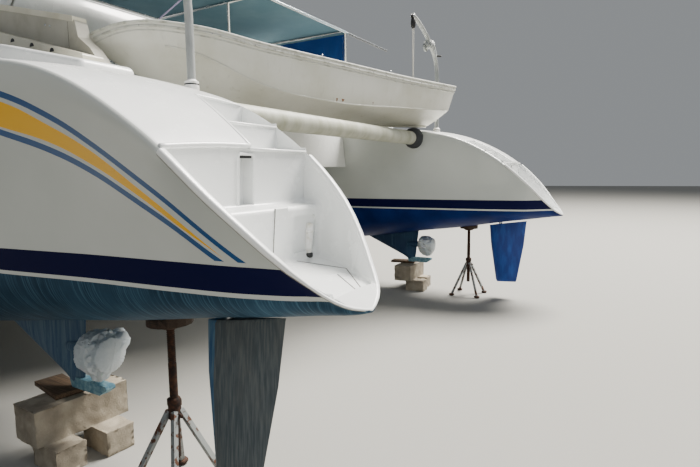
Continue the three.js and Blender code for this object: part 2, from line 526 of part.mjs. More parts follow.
// Forward crossbeam with its striker, and the trampoline behind it.
const forwardBeam = cut(join(
  rod([BEAM.x, -HULL_Y, BEAM.z], [BEAM.x, HULL_Y, BEAM.z], BEAM.radius, 24),
  rod([BEAM.x, -1850, BEAM.z], [BEAM.x, 0, BEAM.z - 380], 14, 8),
  rod([BEAM.x, 1850, BEAM.z], [BEAM.x, 0, BEAM.z - 380], 14, 8),
  rod([BEAM.x, 0, BEAM.z], [BEAM.x, 0, BEAM.z - 390], 26, 12)), bothHulls);
add('forward_beam', common(forwardBeam, box(11000, 11700, -2500, 2500, 0, 2000)), ALLOY);
add('trampoline', common(cut(box(8950 + GAP, BEAM.x - BEAM.radius - GAP, -2500, 2500, 1180, 1190), bothHulls),
  box(8900, 11400, -2300, 2300, 0, 2000)), NET);

// The hatch lids: one on each hull's foredeck, one on each aft deck over the engine, and one
// on the coachroof, all hinged along one edge.
const lid = ({ x, y, length, width, z }) =>
  box(x - length / 2, x + length / 2, y - width / 2, y + width / 2, z, z + LID_THICK);
for (const side of SIDES) {
  for (const l of LIDS) {
    add(`${side.name}_${l.name}`, onSide(lid(l), side), l.name === 'engine_hatch' ? DECK : GLASS);
  }
}
add('roof_hatch', lid({ ...ROOF_HATCH, z: ROOF_HATCH.z + GAP }), GLASS);

// Guard rails: bow pulpit, stanchions and two wires along each hull's outer edge.
const RAIL_IN = 70;
const railAt = (x, up) => [x, HULL_Y + column(STATIONS, 'edge', x) - RAIL_IN, column(STATIONS, 'deck', x) + up];
const STANCHIONS = [2900, 4550, 6200, 7900, 9500];
const PULPIT_X = 10800;
const wirePoints = (up) => [...STANCHIONS, PULPIT_X].map((x) => railAt(x, up));
const chain = (points, radius, sides) =>
  points.slice(1).map((p, k) => rod(points[k], p, radius, sides));
const pulpit = [railAt(PULPIT_X, 610), railAt(11500, 610), [12130, HULL_Y, 2010], [11500, HULL_Y - 250, 1995], [PULPIT_X, HULL_Y - 440, 1980]];
const guardRail = cut(join(
  ...STANCHIONS.map((x) => rod(railAt(x, -60), railAt(x, 615), 12.5, 8)),
  ...chain(wirePoints(600), 4, 6), ...chain(wirePoints(310), 4, 6),
  ...chain(pulpit, 14, 8),
  rod(railAt(PULPIT_X, -60), railAt(PULPIT_X, 620), 14, 8), rod(railAt(11500, -60), railAt(11500, 615), 14, 8),
  rod([PULPIT_X, HULL_Y - 440, 1300], [PULPIT_X, HULL_Y - 440, 1988], 14, 8),
), hullGrown);
for (const side of SIDES) add(`${side.name}_guard_rail`, onSide(guardRail, side), STEEL);

// Aft crossbeam between the hulls, and a davit standing on each inboard deck edge.
const AFT_BEAM = { x: 1740, z: 900, radius: 85 };
add('aft_beam', common(cut(rod([AFT_BEAM.x, -HULL_Y, AFT_BEAM.z], [AFT_BEAM.x, HULL_Y, AFT_BEAM.z], AFT_BEAM.radius, 24), bothHulls),
  box(1500, 1900, -2300, 2300, 0, 2000)), GELCOAT);
const DAVITS = [{ name: 'port', sign: 1, x: 1540, y: 2010 }, { name: 'starboard', sign: -1, x: 1545, y: 2190 }];
const DAVIT_R = 31;
// How the tender hangs: where its transom's foot is, how far it is turned from the boat's
// length, its bow's lift and its list.
const HEADING = { x: 1660, y: -2127, z: 982, turn: 68.2, pitch: 1.1, list: 6 };
const THWART = { under: 330, top: 356 };
const radians = THREE.MathUtils.degToRad;
// Height of the tender's stern seat under a point of the plan.
function seatHeight(x, y) {
  const [turn, pitch, list] = [HEADING.turn, HEADING.pitch, HEADING.list].map(radians);
  const [dx, dy] = [x - HEADING.x, y - HEADING.y];
  const across = (-dx * Math.sin(turn) + dy * Math.cos(turn) + THWART.top * Math.sin(list)) / Math.cos(list);
  const up = across * Math.sin(list) + THWART.top * Math.cos(list);
  const along = (dx * Math.cos(turn) + dy * Math.sin(turn) + up * Math.sin(pitch)) / Math.cos(pitch);
  return HEADING.z + along * Math.sin(pitch) + up * Math.cos(pitch);
}
const SHACKLE_R = 16;
// The stern fall, from the davit's head to the tender's stern seat; it is drawn to port and mirrored.
function fall(x, y) {
  const foot = seatHeight(x, -y) + SHACKLE_R * Math.tan(radians(HEADING.list)) + GAP;
  return join(rod([x, y, 2280], [x, y, foot + 60], 5, 8), rod([x, y, 2240], [x, y, 2140], 28, 10),
    rod([x, y, foot], [x, y, foot + 70], SHACKLE_R, 10));
}
for (const { name, sign, x, y } of DAVITS) {
  const post = [[x, y, 880], [x, y, 1650], [x, y - 70, 1900], [x, y - 310, 2100], [x, y - 560, 2215], [x, y - 790, 2275]];
  const davit = cut(join(tube(post, DAVIT_R, 26, 12), rod([x, y, 880], [x, y, 1130], 46, 16),
    rod([x - 60, y - 290, 2030], [x + 60, y - 290, 2030], 60, 16),
    box(x - 30, x + 30, y - 340, y - 250, 2030, 2100), ...(sign < 0 ? [fall(x, y - 780)] : [])), hullGrown);
  add(`${name}_davit`, sign > 0 ? davit : mirrored(davit), ALLOY);
}

// Tender: hard-chined open dinghy slung across the aft end, transom over the starboard hull
// and bow swung forward to port. u runs from its transom to its bow, w up from its keel.
const FRAMES = table(['u', 'rake', 'gunwale', 'top', 'chine', 'bend', 'keel'], [
  [0, -60, 480, 490, 372, 215, 85], [915, 0, 567, 475, 470, 150, 40], [1830, 0, 612, 496, 503, 115, 48],
  [2640, 0, 582, 546, 470, 205, 69], [3350, 0, 480, 630, 390, 450, 177], [3810, 20, 275, 625, 205, 480, 373],
  [3985, 60, 50, 560, 40, 505, 470]]);
const SHEER_SKIN = 26;
function tenderSkin(inner) {
  const by = inner ? SHEER_SKIN : 0;
  return loft(FRAMES.map((f, k) => {
    const half = [[0, f.keel + (inner ? 60 : 0)], [Math.max(6, f.chine - by), f.bend + by],
      [Math.max(9, f.gunwale - by), inner ? 900 : f.top]];
    const u = f.u + (inner ? (k === 0 ? 35 : k === FRAMES.length - 1 ? -50 : 0) : 0);
    return [...half, ...half.slice(1).reverse().map(([y, z]) => [-y, z])]
      .map(([y, z]) => [u + f.rake * (z - f.keel) / (f.top - f.keel), y, z]);
  }));
}
const THWARTS = table(['from', 'to'], [[40, 700], [1450, 1720], [2650, 2900]]);
const placed = (shape) => (shape.isBufferGeometry ? shape : toGeometry(shape))
  .rotateX(radians(HEADING.list)).rotateY(-radians(HEADING.pitch)).rotateZ(radians(HEADING.turn))
  .translate(HEADING.x, HEADING.y, HEADING.z);
const tender = placed(join(cut(tenderSkin(false), tenderSkin(true)),
  ...THWARTS.map(({ from, to }) => common(tenderSkin(false), box(from, to, -800, 800, THWART.under, THWART.top)))));
add('tender', tender, TENDER);
const tenderCover = placed(loft([[470, 130, 70], [640, 250, 140], [860, 270, 150], [1050, 120, 70]]
  .map(([u, half, height]) => Array.from({ length: 12 }, (_, k) => {
    const a = (k / 12) * 2 * Math.PI;
    return [u, half * Math.cos(a), THWART.top + GAP + height + height * Math.sin(a)];
  }))));
add('tender_cover', tenderCover, CANVAS);

export default boat;
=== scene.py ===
from math import atan2, cos, degrees, hypot, pi, radians, sin, sqrt, tan

import bmesh
import bpy
import numpy as np
from mathutils import Matrix, Vector, noise


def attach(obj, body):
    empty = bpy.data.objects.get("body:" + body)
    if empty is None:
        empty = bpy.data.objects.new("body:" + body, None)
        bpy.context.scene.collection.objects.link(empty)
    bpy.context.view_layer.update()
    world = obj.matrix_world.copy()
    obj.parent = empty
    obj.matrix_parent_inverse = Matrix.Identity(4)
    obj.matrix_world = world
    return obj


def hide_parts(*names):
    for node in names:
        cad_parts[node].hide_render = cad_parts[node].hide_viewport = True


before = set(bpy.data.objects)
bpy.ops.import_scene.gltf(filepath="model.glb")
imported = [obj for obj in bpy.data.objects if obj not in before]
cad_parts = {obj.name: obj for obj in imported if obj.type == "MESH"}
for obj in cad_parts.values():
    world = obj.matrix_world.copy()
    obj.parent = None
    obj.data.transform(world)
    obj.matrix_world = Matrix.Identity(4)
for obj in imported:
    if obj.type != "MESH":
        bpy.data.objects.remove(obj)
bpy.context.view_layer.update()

# Camera, floor and light: a viewpoint at head height off the port quarter, a plain pale floor
# and soft light from above the starboard side, so that the near topsides lie in open shade.
CAMERA_PLACE = Vector((-7.041, 4.315, 1.690))
CAMERA_YAW, CAMERA_PITCH, CAMERA_ROLL = radians(30.51), radians(-6.67), radians(-0.66)
FOCAL_LENGTH, SENSOR_WIDTH = 26.28, 36.0

forward = Vector((sin(CAMERA_YAW) * cos(CAMERA_PITCH), -cos(CAMERA_YAW) * cos(CAMERA_PITCH), sin(CAMERA_PITCH)))
level = forward.cross(Vector((0, 0, 1))).normalized()
upward = level.cross(forward)
across = cos(CAMERA_ROLL) * level + sin(CAMERA_ROLL) * upward
above = cos(CAMERA_ROLL) * upward - sin(CAMERA_ROLL) * level
camera = bpy.data.objects.new("camera", bpy.data.cameras.new("camera"))
camera.data.lens, camera.data.sensor_width, camera.data.sensor_fit = FOCAL_LENGTH, SENSOR_WIDTH, "HORIZONTAL"
camera.data.clip_start, camera.data.clip_end = 0.05, 200
camera.matrix_world = Matrix.Translation(CAMERA_PLACE) @ Matrix((across, above, -forward)).transposed().to_4x4()
bpy.context.scene.collection.objects.link(camera)
bpy.context.scene.camera = camera


def linear(hex_colour):
    """A colour that the eye names in sRGB, as the light a shader works with."""
    channels = [int(hex_colour[k:k + 2], 16) / 255 for k in (1, 3, 5)]
    return [c / 12.92 if c <= 0.04045 else ((c + 0.055) / 1.055) ** 2.4 for c in channels] + [1.0]


def add(tree, kind, links=None, **settings):
    """One node, with its settings, and its inputs given as values or as other nodes' outputs."""
    node = tree.nodes.new(kind)
    for name, value in settings.items():
        setattr(node, name, value)
    for name, value in (links or {}).items():
        socket = node.inputs[name]
        if isinstance(value, bpy.types.NodeSocket):
            tree.links.new(value, socket)
        else:
            socket.default_value = value
    return node


def linked(name, data):
    """A new object of the scene, at its origin."""
    thing = bpy.data.objects.new(name, data)
    bpy.context.scene.collection.objects.link(thing)
    return thing


def lamp(name, place, aim, size, power, colour="#ffffff"):
    light = bpy.data.lights.new(name, "AREA")
    light.shape, light.size, light.energy, light.color = "DISK", size, power, linear(colour)[:3]
    holder = linked(name, light)
    holder.location = place
    holder.rotation_euler = (Vector(aim) - Vector(place)).to_track_quat("-Z", "Y").to_euler()


world = bpy.data.worlds.new("studio")
world.use_nodes = True
world.node_tree.nodes["Background"].inputs["Color"].default_value = linear("#e9eef2")
world.node_tree.nodes["Background"].inputs["Strength"].default_value = 0.33
bpy.context.scene.world = world
lamp("key", (-9, -13, 22), (0, 0, 2), 14, 31000, "#fffaf2")
lamp("fill", (-16, 6, 12), (-3, 1, 1), 10, 500, "#f2f6ff")


def mesh_object(name, points, faces, materials=(), parts=None):
    """A plain mesh in the row frame, from points in metres."""
    mesh = bpy.data.meshes.new(name)
    mesh.from_pydata([tuple(p) for p in points], [], [tuple(f) for f in faces])
    for m in materials:
        mesh.materials.append(m)
    if parts is not None:
        mesh.polygons.foreach_set("material_index", list(parts))
    mesh.update()
    return linked(name, mesh)


floor_paint = bpy.data.materials.new("floor_paint")
floor_paint.use_nodes = True
floor_paint.node_tree.nodes["Principled BSDF"].inputs["Base Color"].default_value = linear("#969590")
floor_paint.node_tree.nodes["Principled BSDF"].inputs["Roughness"].default_value = 0.9
FLOOR_REACH = 60
floor_corners = [(x * FLOOR_REACH, y * FLOOR_REACH, 0) for x, y in ((-1, -1), (1, -1), (1, 1), (-1, 1))]
floor = mesh_object("floor", floor_corners, [(0, 1, 2, 3)], [floor_paint])

# Hulls: hand-laid glass fibre mouldings, sprayed with gelcoat in polished female moulds. The
# stern is scooped out into steps between two bulwarks, whose join to the deck hides under a
# round rubbing cap. Lengths are in millimetres from the stern tips and the boot-top line.
MIDSHIPS, BOOT_TOP = 6.1, 1.235
HULL_Y = 2550


def at(x, y, z):
    """A place on the boat, in metres of the row frame, from millimetres along, to port and up."""
    return Vector((x / 1000 - MIDSHIPS, y / 1000, z / 1000 + BOOT_TOP))


def placed(points):
    """Rows of millimetres as metres of the row frame."""
    return np.asarray(points, float) / 1000 + (-MIDSHIPS, 0, BOOT_TOP)


def surface(name, hex_colour, roughness, metallic=0.0, **sockets):
    """A material with its shader, its node tree and the place on the boat that its patterns read."""
    made = bpy.data.materials.new(name)
    made.use_nodes = True
    tree = made.node_tree
    shader = tree.nodes["Principled BSDF"]
    shader.inputs["Base Color"].default_value = linear(hex_colour)
    shader.inputs["Roughness"].default_value = roughness
    shader.inputs["Metallic"].default_value = metallic
    for socket, value in sockets.items():
        shader.inputs[socket.replace("_", " ").title().replace("Ior", "IOR")].default_value = value
    where = add(tree, "ShaderNodeTexCoord").outputs["Object"]
    return made, tree, shader, where


def mottle(tree, where, size_mm, detail=3.0, stretch=(1, 1, 1), turn=(0, 0, 0)):
    """Noise whose blotches are about size_mm across, drawn out along any axis by stretch."""
    spread = add(tree, "ShaderNodeMapping", {"Vector": where, "Rotation": turn, "Scale": [1 / s for s in stretch]})
    cloud = add(tree, "ShaderNodeTexNoise", {"Vector": spread.outputs["Vector"], "Scale": 1000 / size_mm, "Detail": detail,
                                             "Roughness": 0.55})
    return cloud.outputs["Fac"]


def ramp(tree, factor, low, high, start=0.0, end=1.0):
    """A smooth change between two values or two hex colours as the factor goes from start to end."""
    share = add(tree, "ShaderNodeMapRange", {"Value": factor, "From Min": start, "From Max": end},
                interpolation_type="SMOOTHSTEP")
    if isinstance(low, str):
        return mixed(tree, share.outputs["Result"], linear(low), linear(high))
    return add(tree, "ShaderNodeMapRange", {"Value": share.outputs["Result"], "To Min": low,
                                            "To Max": high}).outputs["Result"]


def mixed(tree, factor, a, b):
    """Two colours mixed by a factor."""
    return add(tree, "ShaderNodeMix", {0: factor, 6: a, 7: b}, data_type="RGBA").outputs[2]


def reckon(tree, operation, a, b=0.0, c=0.0):
    """One sum on values or outputs."""
    return add(tree, "ShaderNodeMath", {0: a, 1: b, 2: c}, operation=operation).outputs[0]


def bump(tree, shader, height, distance_mm, strength=1.0):
    """Relief of the given depth on a material's surface, laid over any that it has."""
    relief = add(tree, "ShaderNodeBump", {"Height": height, "Distance": distance_mm / 1000, "Strength": strength})
    before = shader.inputs["Normal"].links
    if before:
        tree.links.new(before[0].from_socket, relief.inputs["Normal"])
    tree.links.new(relief.outputs["Normal"], shader.inputs["Normal"])


def wire(tree, output, shader, socket):
    tree.links.new(output, shader.inputs[socket])


def worn(name, hex_colour, roughness, metallic=0.0, tint=(), gloss=(), relief=(), **sockets):
    """A plain finish. Tint and gloss blotch its colour and its roughness, and relief roughens it: each gives a
    mottle's size in mm, detail and stretch, then the two values and where they change, or the depth and strength."""
    made, tree, shader, where = surface(name, hex_colour, roughness, metallic, **sockets)
    for socket, pattern in (("Base Color", tint), ("Roughness", gloss)):
        if pattern:
            cloud, *change = pattern
            wire(tree, ramp(tree, mottle(tree, where, *cloud), *change), shader, socket)
    for cloud, depth_mm, strength in relief:
        bump(tree, shader, mottle(tree, where, *cloud), depth_mm, strength)
    return made


# Deck gelcoat: sprayed polyester over glass, glossy white, with faint ripples of the glass under
# it and a little brown dirt in scattered specks.
deck_gelcoat, tree, shader, where = surface("deck_gelcoat", "#eef0ef", 0.22, coat_weight=0.25, coat_roughness=0.12)
dirt = ramp(tree, mottle(tree, where, 260, 5), 0.0, 0.4, 0.55, 0.85)
specks = reckon(tree, "MULTIPLY", dirt, ramp(tree, mottle(tree, where, 16, 4), 0.0, 1.0, 0.5, 0.75))
wire(tree, mixed(tree, specks, linear("#eef0ef"), linear("#bfb49c")), shader, "Base Color")
wire(tree, ramp(tree, mottle(tree, where, 120), 0.16, 0.34), shader, "Roughness")
bump(tree, shader, mottle(tree, where, 190, 1, (3, 1, 1)), 2.2, 0.5)

# Topsides gelcoat: off-white moulded gloss with vinyl stripes that sweep up from the stern, a
# navy band of two-pot paint, a white boot-top line, and worn antifouling below it.
STRIPE_SPAN = 12.2
UPPER_STRIPE = [(0.38, 0.127), (0.54, 0.254), (0.69, 0.364), (0.83, 0.457), (1.06, 0.595), (1.31, 0.722), (1.57, 0.823),
                (1.95, 0.920), (2.38, 0.958), (4.0, 0.99), (11.9, 1.26)]
LOWER_STRIPE = [(0.44, 0.097), (0.48, 0.123), (0.69, 0.262), (0.87, 0.365), (1.11, 0.486), (1.37, 0.584), (1.64, 0.661),
                (1.95, 0.746), (2.38, 0.806), (4.0, 0.85), (11.9, 1.19)]
YELLOW_TOP = [(0.40, 0.09), (0.457, 0.139), (0.636, 0.276), (0.84, 0.42), (1.07, 0.565), (1.32, 0.683), (1.58, 0.791),
              (1.95, 0.883), (2.38, 0.920), (4.0, 0.955), (11.9, 1.23)]
YELLOW_LOW = [(0.40, 0.095), (0.457, 0.139), (0.648, 0.258), (0.863, 0.394), (1.1, 0.514), (1.356, 0.614), (1.632, 0.685),
              (1.95, 0.768), (2.38, 0.831), (4.0, 0.88), (11.9, 1.21)]
STRIPE_WIDTH, STRIPE_FOOT = 0.030, 0.125
NAVY_TOP, NAVY_FOOT, LINE_FOOT = 0.107, -0.006, -0.025

topsides_gelcoat, tree, shader, where = surface("topsides_gelcoat", "#c8ccc8", 0.2, coat_weight=0.3, coat_roughness=0.08)
axes = add(tree, "ShaderNodeSeparateXYZ", {"Vector": where}).outputs
along = reckon(tree, "ADD", axes["X"], MIDSHIPS)
up = reckon(tree, "SUBTRACT", axes["Z"], BOOT_TOP)
outboard = reckon(tree, "GREATER_THAN", reckon(tree, "ABSOLUTE", axes["Y"]), HULL_Y / 1000)


def sweep(points):
    """A stripe's height above the boot-top as a smooth curve of the distance from the stern."""
    curve = add(tree, "ShaderNodeFloatCurve", {"Value": reckon(tree, "DIVIDE", along, STRIPE_SPAN)})
    line = curve.mapping.curves[0]
    while len(line.points) < len(points):
        line.points.new(0.5, 0.5)
    for p, (x, z) in zip(line.points, points):
        p.location = (x / STRIPE_SPAN, z / 2 + 0.2)
    curve.mapping.update()
    return reckon(tree, "MULTIPLY", reckon(tree, "SUBTRACT", curve.outputs["Value"], 0.2), 2.0)


def band(low, high):
    return reckon(tree, "MULTIPLY", reckon(tree, "GREATER_THAN", up, low), reckon(tree, "LESS_THAN", up, high))


started = reckon(tree, "MULTIPLY", reckon(tree, "GREATER_THAN", up, STRIPE_FOOT), outboard)
blue_stripes = reckon(tree, "MULTIPLY", started, reckon(
    tree, "MAXIMUM", reckon(tree, "COMPARE", up, sweep(UPPER_STRIPE), STRIPE_WIDTH / 2),
    reckon(tree, "COMPARE", up, sweep(LOWER_STRIPE), STRIPE_WIDTH / 2)))
yellow_stripe = reckon(tree, "MULTIPLY", started, band(sweep(YELLOW_LOW), sweep(YELLOW_TOP)))
weather = ramp(tree, mottle(tree, where, 900, 4), "#c8ccc8", "#bbc0bb", 0.3, 0.8)
colour = mixed(tree, blue_stripes, weather, linear("#1b4c80"))
colour = mixed(tree, yellow_stripe, colour, linear("#f0b400"))
navy = band(NAVY_FOOT, NAVY_TOP)
colour = mixed(tree, navy, colour, linear("#010636"))
patches = ramp(tree, mottle(tree, where, 380, 4), "#1d3547", "#2d4b60", 0.3, 0.75)
strokes = ramp(tree, mottle(tree, where, 8, 3, (1, 30, 44), (0, radians(67), 0)), 0.0, 0.5, 0.46, 0.72)
scrubbed = mixed(tree, strokes, patches, linear("#557a90"))
far_blue = ramp(tree, mottle(tree, where, 300, 3), "#071d52", "#0e2a68", 0.3, 0.8)
port_side = reckon(tree, "GREATER_THAN", axes["Y"], 0.0)
under = reckon(tree, "LESS_THAN", up, LINE_FOOT)
colour = mixed(tree, under, colour, mixed(tree, port_side, far_blue, scrubbed))
wire(tree, colour, shader, "Base Color")
paint = reckon(tree, "MAXIMUM", under, navy)
for socket, bare, painted in (("Roughness", 0.2, 0.6), ("Specular IOR Level", 0.5, 0.12), ("Coat Weight", 0.3, 0.0)):
    wire(tree, mixed(tree, paint, [bare] * 4, [painted] * 4), shader, socket)
bump(tree, shader, reckon(tree, "MULTIPLY", under, mottle(tree, where, 6, 2, (1, 20, 30), (0, radians(67), 0))), 0.9, 0.6)
bump(tree, shader, mottle(tree, where, 700, 1), 2.5, 0.35)

# The CAD's station table: along, rake of the section, keel, half-breadth at the boot-top and at
# the deck edge, and height of the deck edge.
STATIONS = np.array([
    (0, 0, -98, 22, 26, -84), (30, 0, -104, 90, 122, -56), (125, 0, -116, 190, 250, 42), (364, 0, -150, 285, 430, 315),
    (729, 0, -201, 340, 502, 634), (1249, 0, -286, 388, 536, 904), (1873, 0, -368, 470, 606, 1018),
    (2706, 0, -486, 540, 716, 1082), (3747, 0, -590, 590, 784, 1170), (5204, 0, -660, 620, 834, 1245),
    (7000, 0, -670, 610, 846, 1290), (9000, 0, -570, 490, 760, 1330), (10600, 0, -400, 290, 560, 1362),
    (11500, 60, -240, 120, 320, 1385), (11960, 240, -60, 14, 34, 1400)], float)
# The deck's crown over a given breadth, how far up a section its waist may lie, and how the
# flare above the waist grows.
CAMBER, CAMBER_BREADTH, WAIST_SHARE, FLARE = 30, 600, 0.55, 1.25

# How near to plumb the inboard side stands, from the stern forward; the flare is outboard only.
PLUMB_X, PLUMB = (60, 364, 1249, 2706), (0, 0.95, 0.95, 0)


def between(rows, x):
    """A row of a table at x, on a smooth curve through its rows."""
    k = int(np.clip(np.searchsorted(rows[:, 0], x) - 1, 0, len(rows) - 2))
    a, b = rows[k], rows[k + 1]
    h = b[0] - a[0]
    slope = (b - a) / h
    before = slope if k == 0 else (a - rows[k - 1]) / (a[0] - rows[k - 1][0])
    after = slope if k == len(rows) - 2 else (rows[k + 2] - b) / (rows[k + 2][0] - b[0])
    m0, m1 = (slope + before) / 2, (slope + after) / 2
    t = (x - a[0]) / h
    return ((2 * t**3 - 3 * t**2 + 1) * a + (t**3 - 2 * t**2 + t) * h * m0
            + (3 * t**2 - 2 * t**3) * b + (t**3 - t**2) * h * m1)


def hull_section(x, inset=0.0, lift=0.0, corner=30.0, inboard=False):
    """Half a hull's section at x, from keel to deck middle, and how many of its points are topsides."""
    x, rake, keel, waist, edge, deck = between(STATIONS, x)
    waist += (edge - waist) * float(np.interp(x, PLUMB_X, PLUMB)) * inboard
    waist, edge = max(3, waist - inset), max(4, edge - inset)
    waist_z = min(0, keel + (deck - keel) * WAIST_SHARE)
    corner = min(corner, edge * 0.4, (deck - waist_z) * 0.4) if not lift else 0
    points = [(waist * sin(a), waist_z - (waist_z - keel) * cos(a)) for a in np.linspace(0, pi / 2, 15)]
    points += [(waist + (edge - waist) * t**FLARE, waist_z + (deck - waist_z) * t)
               for t in np.linspace(0, 1 - corner / (deck - waist_z), 13)[1:]]
    side = len(points)
    if lift:
        points += [(edge, deck + lift), (edge * 0.5, deck + lift), (0, deck + lift)]
        return [(x, y, z) for y, z in points], side
    y1 = points[-1][0]
    points += [(y1 - corner * (1 - cos(a)), deck - corner + corner * sin(a)) for a in np.linspace(0, pi / 2, 7)[1:]]
    y2 = points[-1][0]
    crown = CAMBER * edge / CAMBER_BREADTH
    points += [(y, deck + crown * (1 - (y / y2) ** 2)) for y in y2 * np.linspace(1, 0, 8)[1:]]
    return [(x + rake * max(0, (z - keel) / (deck - keel)), y, z) for y, z in points], side


def hull_skin(name, stations, inset=0.0, lift=0.0, corner=30.0, materials=()):
    """A closed hull about its own middle line; its topsides take the first material."""
    rows, faces, parts = [], [], []
    for x in stations:
        half, side = hull_section(x, inset, lift, corner)
        inner = hull_section(x, inset, lift, corner, True)[0]
        rows.append(half + [(px, -y, z) for px, y, z in inner[-2:0:-1]])
    n = len(rows[0])
    for r in range(len(rows) - 1):
        for k in range(n):
            j = (k + 1) % n
            faces.append((r * n + k, r * n + j, (r + 1) * n + j, (r + 1) * n + k))
            parts.append(0 if min(k, n - 1 - k) < side + 3 else 1)
    last = (len(rows) - 1) * n
    faces += [tuple(range(n))[::-1], tuple(range(last, last + n))]
    return mesh_object(name, placed([p for row in rows for p in row]), faces, materials, parts + [0, 0])


def applied(thing):
    """Turns what a piece's modifiers make into its own plain mesh."""
    bpy.context.view_layer.update()
    shaped = bpy.data.meshes.new_from_object(thing.evaluated_get(bpy.context.evaluated_depsgraph_get()))
    old = thing.data
    thing.modifiers.clear()
    thing.data = shaped
    shaped.name = thing.name
    if old.users == 0:
        bpy.data.meshes.remove(old)
    return thing


def outward(thing):
    """Turns every face of a closed piece outwards."""
    work = bmesh.new()
    work.from_mesh(thing.data)
    bmesh.ops.remove_doubles(work, verts=work.verts, dist=1e-6)
    bmesh.ops.recalc_face_normals(work, faces=work.faces)
    work.to_mesh(thing.data)
    work.free()
    return thing


def carved(thing, *tools, operation="DIFFERENCE"):
    """Cuts tools out of a piece, or joins them to it, and throws the tools away."""
    for tool in tools:
        m = thing.modifiers.new("cut", "BOOLEAN")
        m.operation, m.object, m.solver, m.material_mode = operation, tool, "EXACT", "INDEX"
    applied(thing)
    for tool in tools:
        bpy.data.objects.remove(tool)
    return thing


def smooth(thing, angle=32.0):
    """Smooth shading, with edges sharper than the angle kept crisp."""
    thing.data.polygons.foreach_set("use_smooth", [True] * len(thing.data.polygons))
    thing.data.set_sharp_from_angle(angle=radians(angle))
    return thing


def ribbon(name, rows, closed=True, materials=(), part=0, capped=True):
    """A closed sweep from rows of points in metres, each row one ring of the section."""
    n, count = len(rows[0]), len(rows)
    faces = [(r * n + k, r * n + (k + 1) % n, (r + 1) * n + (k + 1) % n, (r + 1) * n + k)
             for r in range(count - 1) for k in range(n if closed else n - 1)]
    if capped and closed:
        faces += [tuple(range(n))[::-1], tuple((count - 1) * n + k for k in range(n))]
    return mesh_object(name, [p for row in rows for p in row], faces, materials, [part] * len(faces))


def prism(name, outline, low, high, axis="y", materials=(), part=0):
    """A closed block whose outline, in the plane across the axis, runs from low to high, in millimetres."""
    place = {"x": lambda u, v, w: at(w, u, v), "y": lambda u, v, w: at(u, w, v), "z": at}[axis]
    return outward(ribbon(name, [[place(u, v, w) for u, v in outline] for w in (low, high)], materials=materials,
                          part=part))


def corners(a, b, c, d):
    """The outline of an oblong from a to b one way and from c to d the other."""
    return [(a, c), (b, c), (b, d), (a, d)]


def rounded(outline, radius, steps=5):
    """A closed outline with its corners turned into arcs of up to the radius."""
    made = []
    n = len(outline)
    for k, corner in enumerate(outline):
        p, a, b = Vector(corner), Vector(outline[k - 1]), Vector(outline[(k + 1) % n])
        u, v = (a - p), (b - p)
        half = u.angle(v) / 2
        reach = min(radius / tan(half), u.length * 0.45, v.length * 0.45)
        u, v = u.normalized(), v.normalized()
        bow = reach * tan(half)
        middle = p + (u + v).normalized() * hypot(bow, reach)
        start, end = p + u * reach - middle, p + v * reach - middle
        for t in np.linspace(0, 1, steps + 1):
            made.append(tuple(middle + (start * (1 - t) + end * t).normalized() * bow))
    return made


def joined(thing, *others):
    """Puts other pieces' meshes into one piece, with their materials."""
    names = [m.name for m in thing.data.materials]
    work = bmesh.new()
    work.from_mesh(thing.data)
    for other in others:
        index = []
        for m in other.data.materials:
            if m.name not in names:
                names.append(m.name)
                thing.data.materials.append(m)
            index.append(names.index(m.name))
        for p in other.data.polygons:
            p.material_index = index[p.material_index] if index else 0
        work.from_mesh(other.data)
        bpy.data.objects.remove(other)
    work.to_mesh(thing.data)
    work.free()
    return thing


def mirrored(thing, name):
    """The same piece on the other side of the boat."""
    twin = linked(name, thing.data.copy())
    twin.data.name = name
    twin.data.transform(Matrix.Scale(-1, 4, (0, 1, 0)))
    twin.data.flip_normals()
    return twin


def fitted(thing, body, slot, *nodes):
    """Hands a finished piece to its body and hides the solids that it stands for. The slot is not used."""
    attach(thing, body)
    if nodes:
        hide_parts(*nodes)
    return thing


# Stern steps: the platform, two treads and the ledge, between thin bulwarks, and the slot that
# the ladder stows in. Each cut stops at the bulwarks and is open above.
BULWARK, LEDGE_X, TREAD_Z, TREAD_X, PLATFORM_Z = 24, 640, 300, 545, 30
PLATFORM_AFT, PLATFORM_FORE, STEPS_END = 70, 570, 1105
OPEN_TOP, OPEN_LIFT = 1400, 600
WELL = [(PLATFORM_AFT, -30), (PLATFORM_FORE, PLATFORM_Z), (TREAD_X, TREAD_Z), (LEDGE_X + 20, TREAD_Z + 10), (LEDGE_X, 700),
        (LEDGE_X, OPEN_TOP), (0, OPEN_TOP)]
SHALLOW_STEPS = [(LEDGE_X, 849, 576), (849, STEPS_END, 715)]
SLOT = (-58, 36, 314, 542)
HULL_FINISHES = [topsides_gelcoat, deck_gelcoat]


def outer_wall(x):
    """The outboard side of the shallow steps, in millimetres off the hull's middle line."""
    return -30 - 0.12 * (x - LEDGE_X) - 0.00031 * (x - LEDGE_X) ** 2


def cavity(outline, radius, low, high, axis, stations):
    """A tool that cuts an outline as far as the bulwarks, and leaves deck gelcoat."""
    inside = hull_skin("inside", stations, BULWARK, OPEN_LIFT, 8, HULL_FINISHES)
    inside.data.polygons.foreach_set("material_index", [1] * len(inside.data.polygons))
    return carved(prism("cavity", rounded(outline, radius), low, high, axis, HULL_FINISHES, 1), inside,
                  operation="INTERSECT")


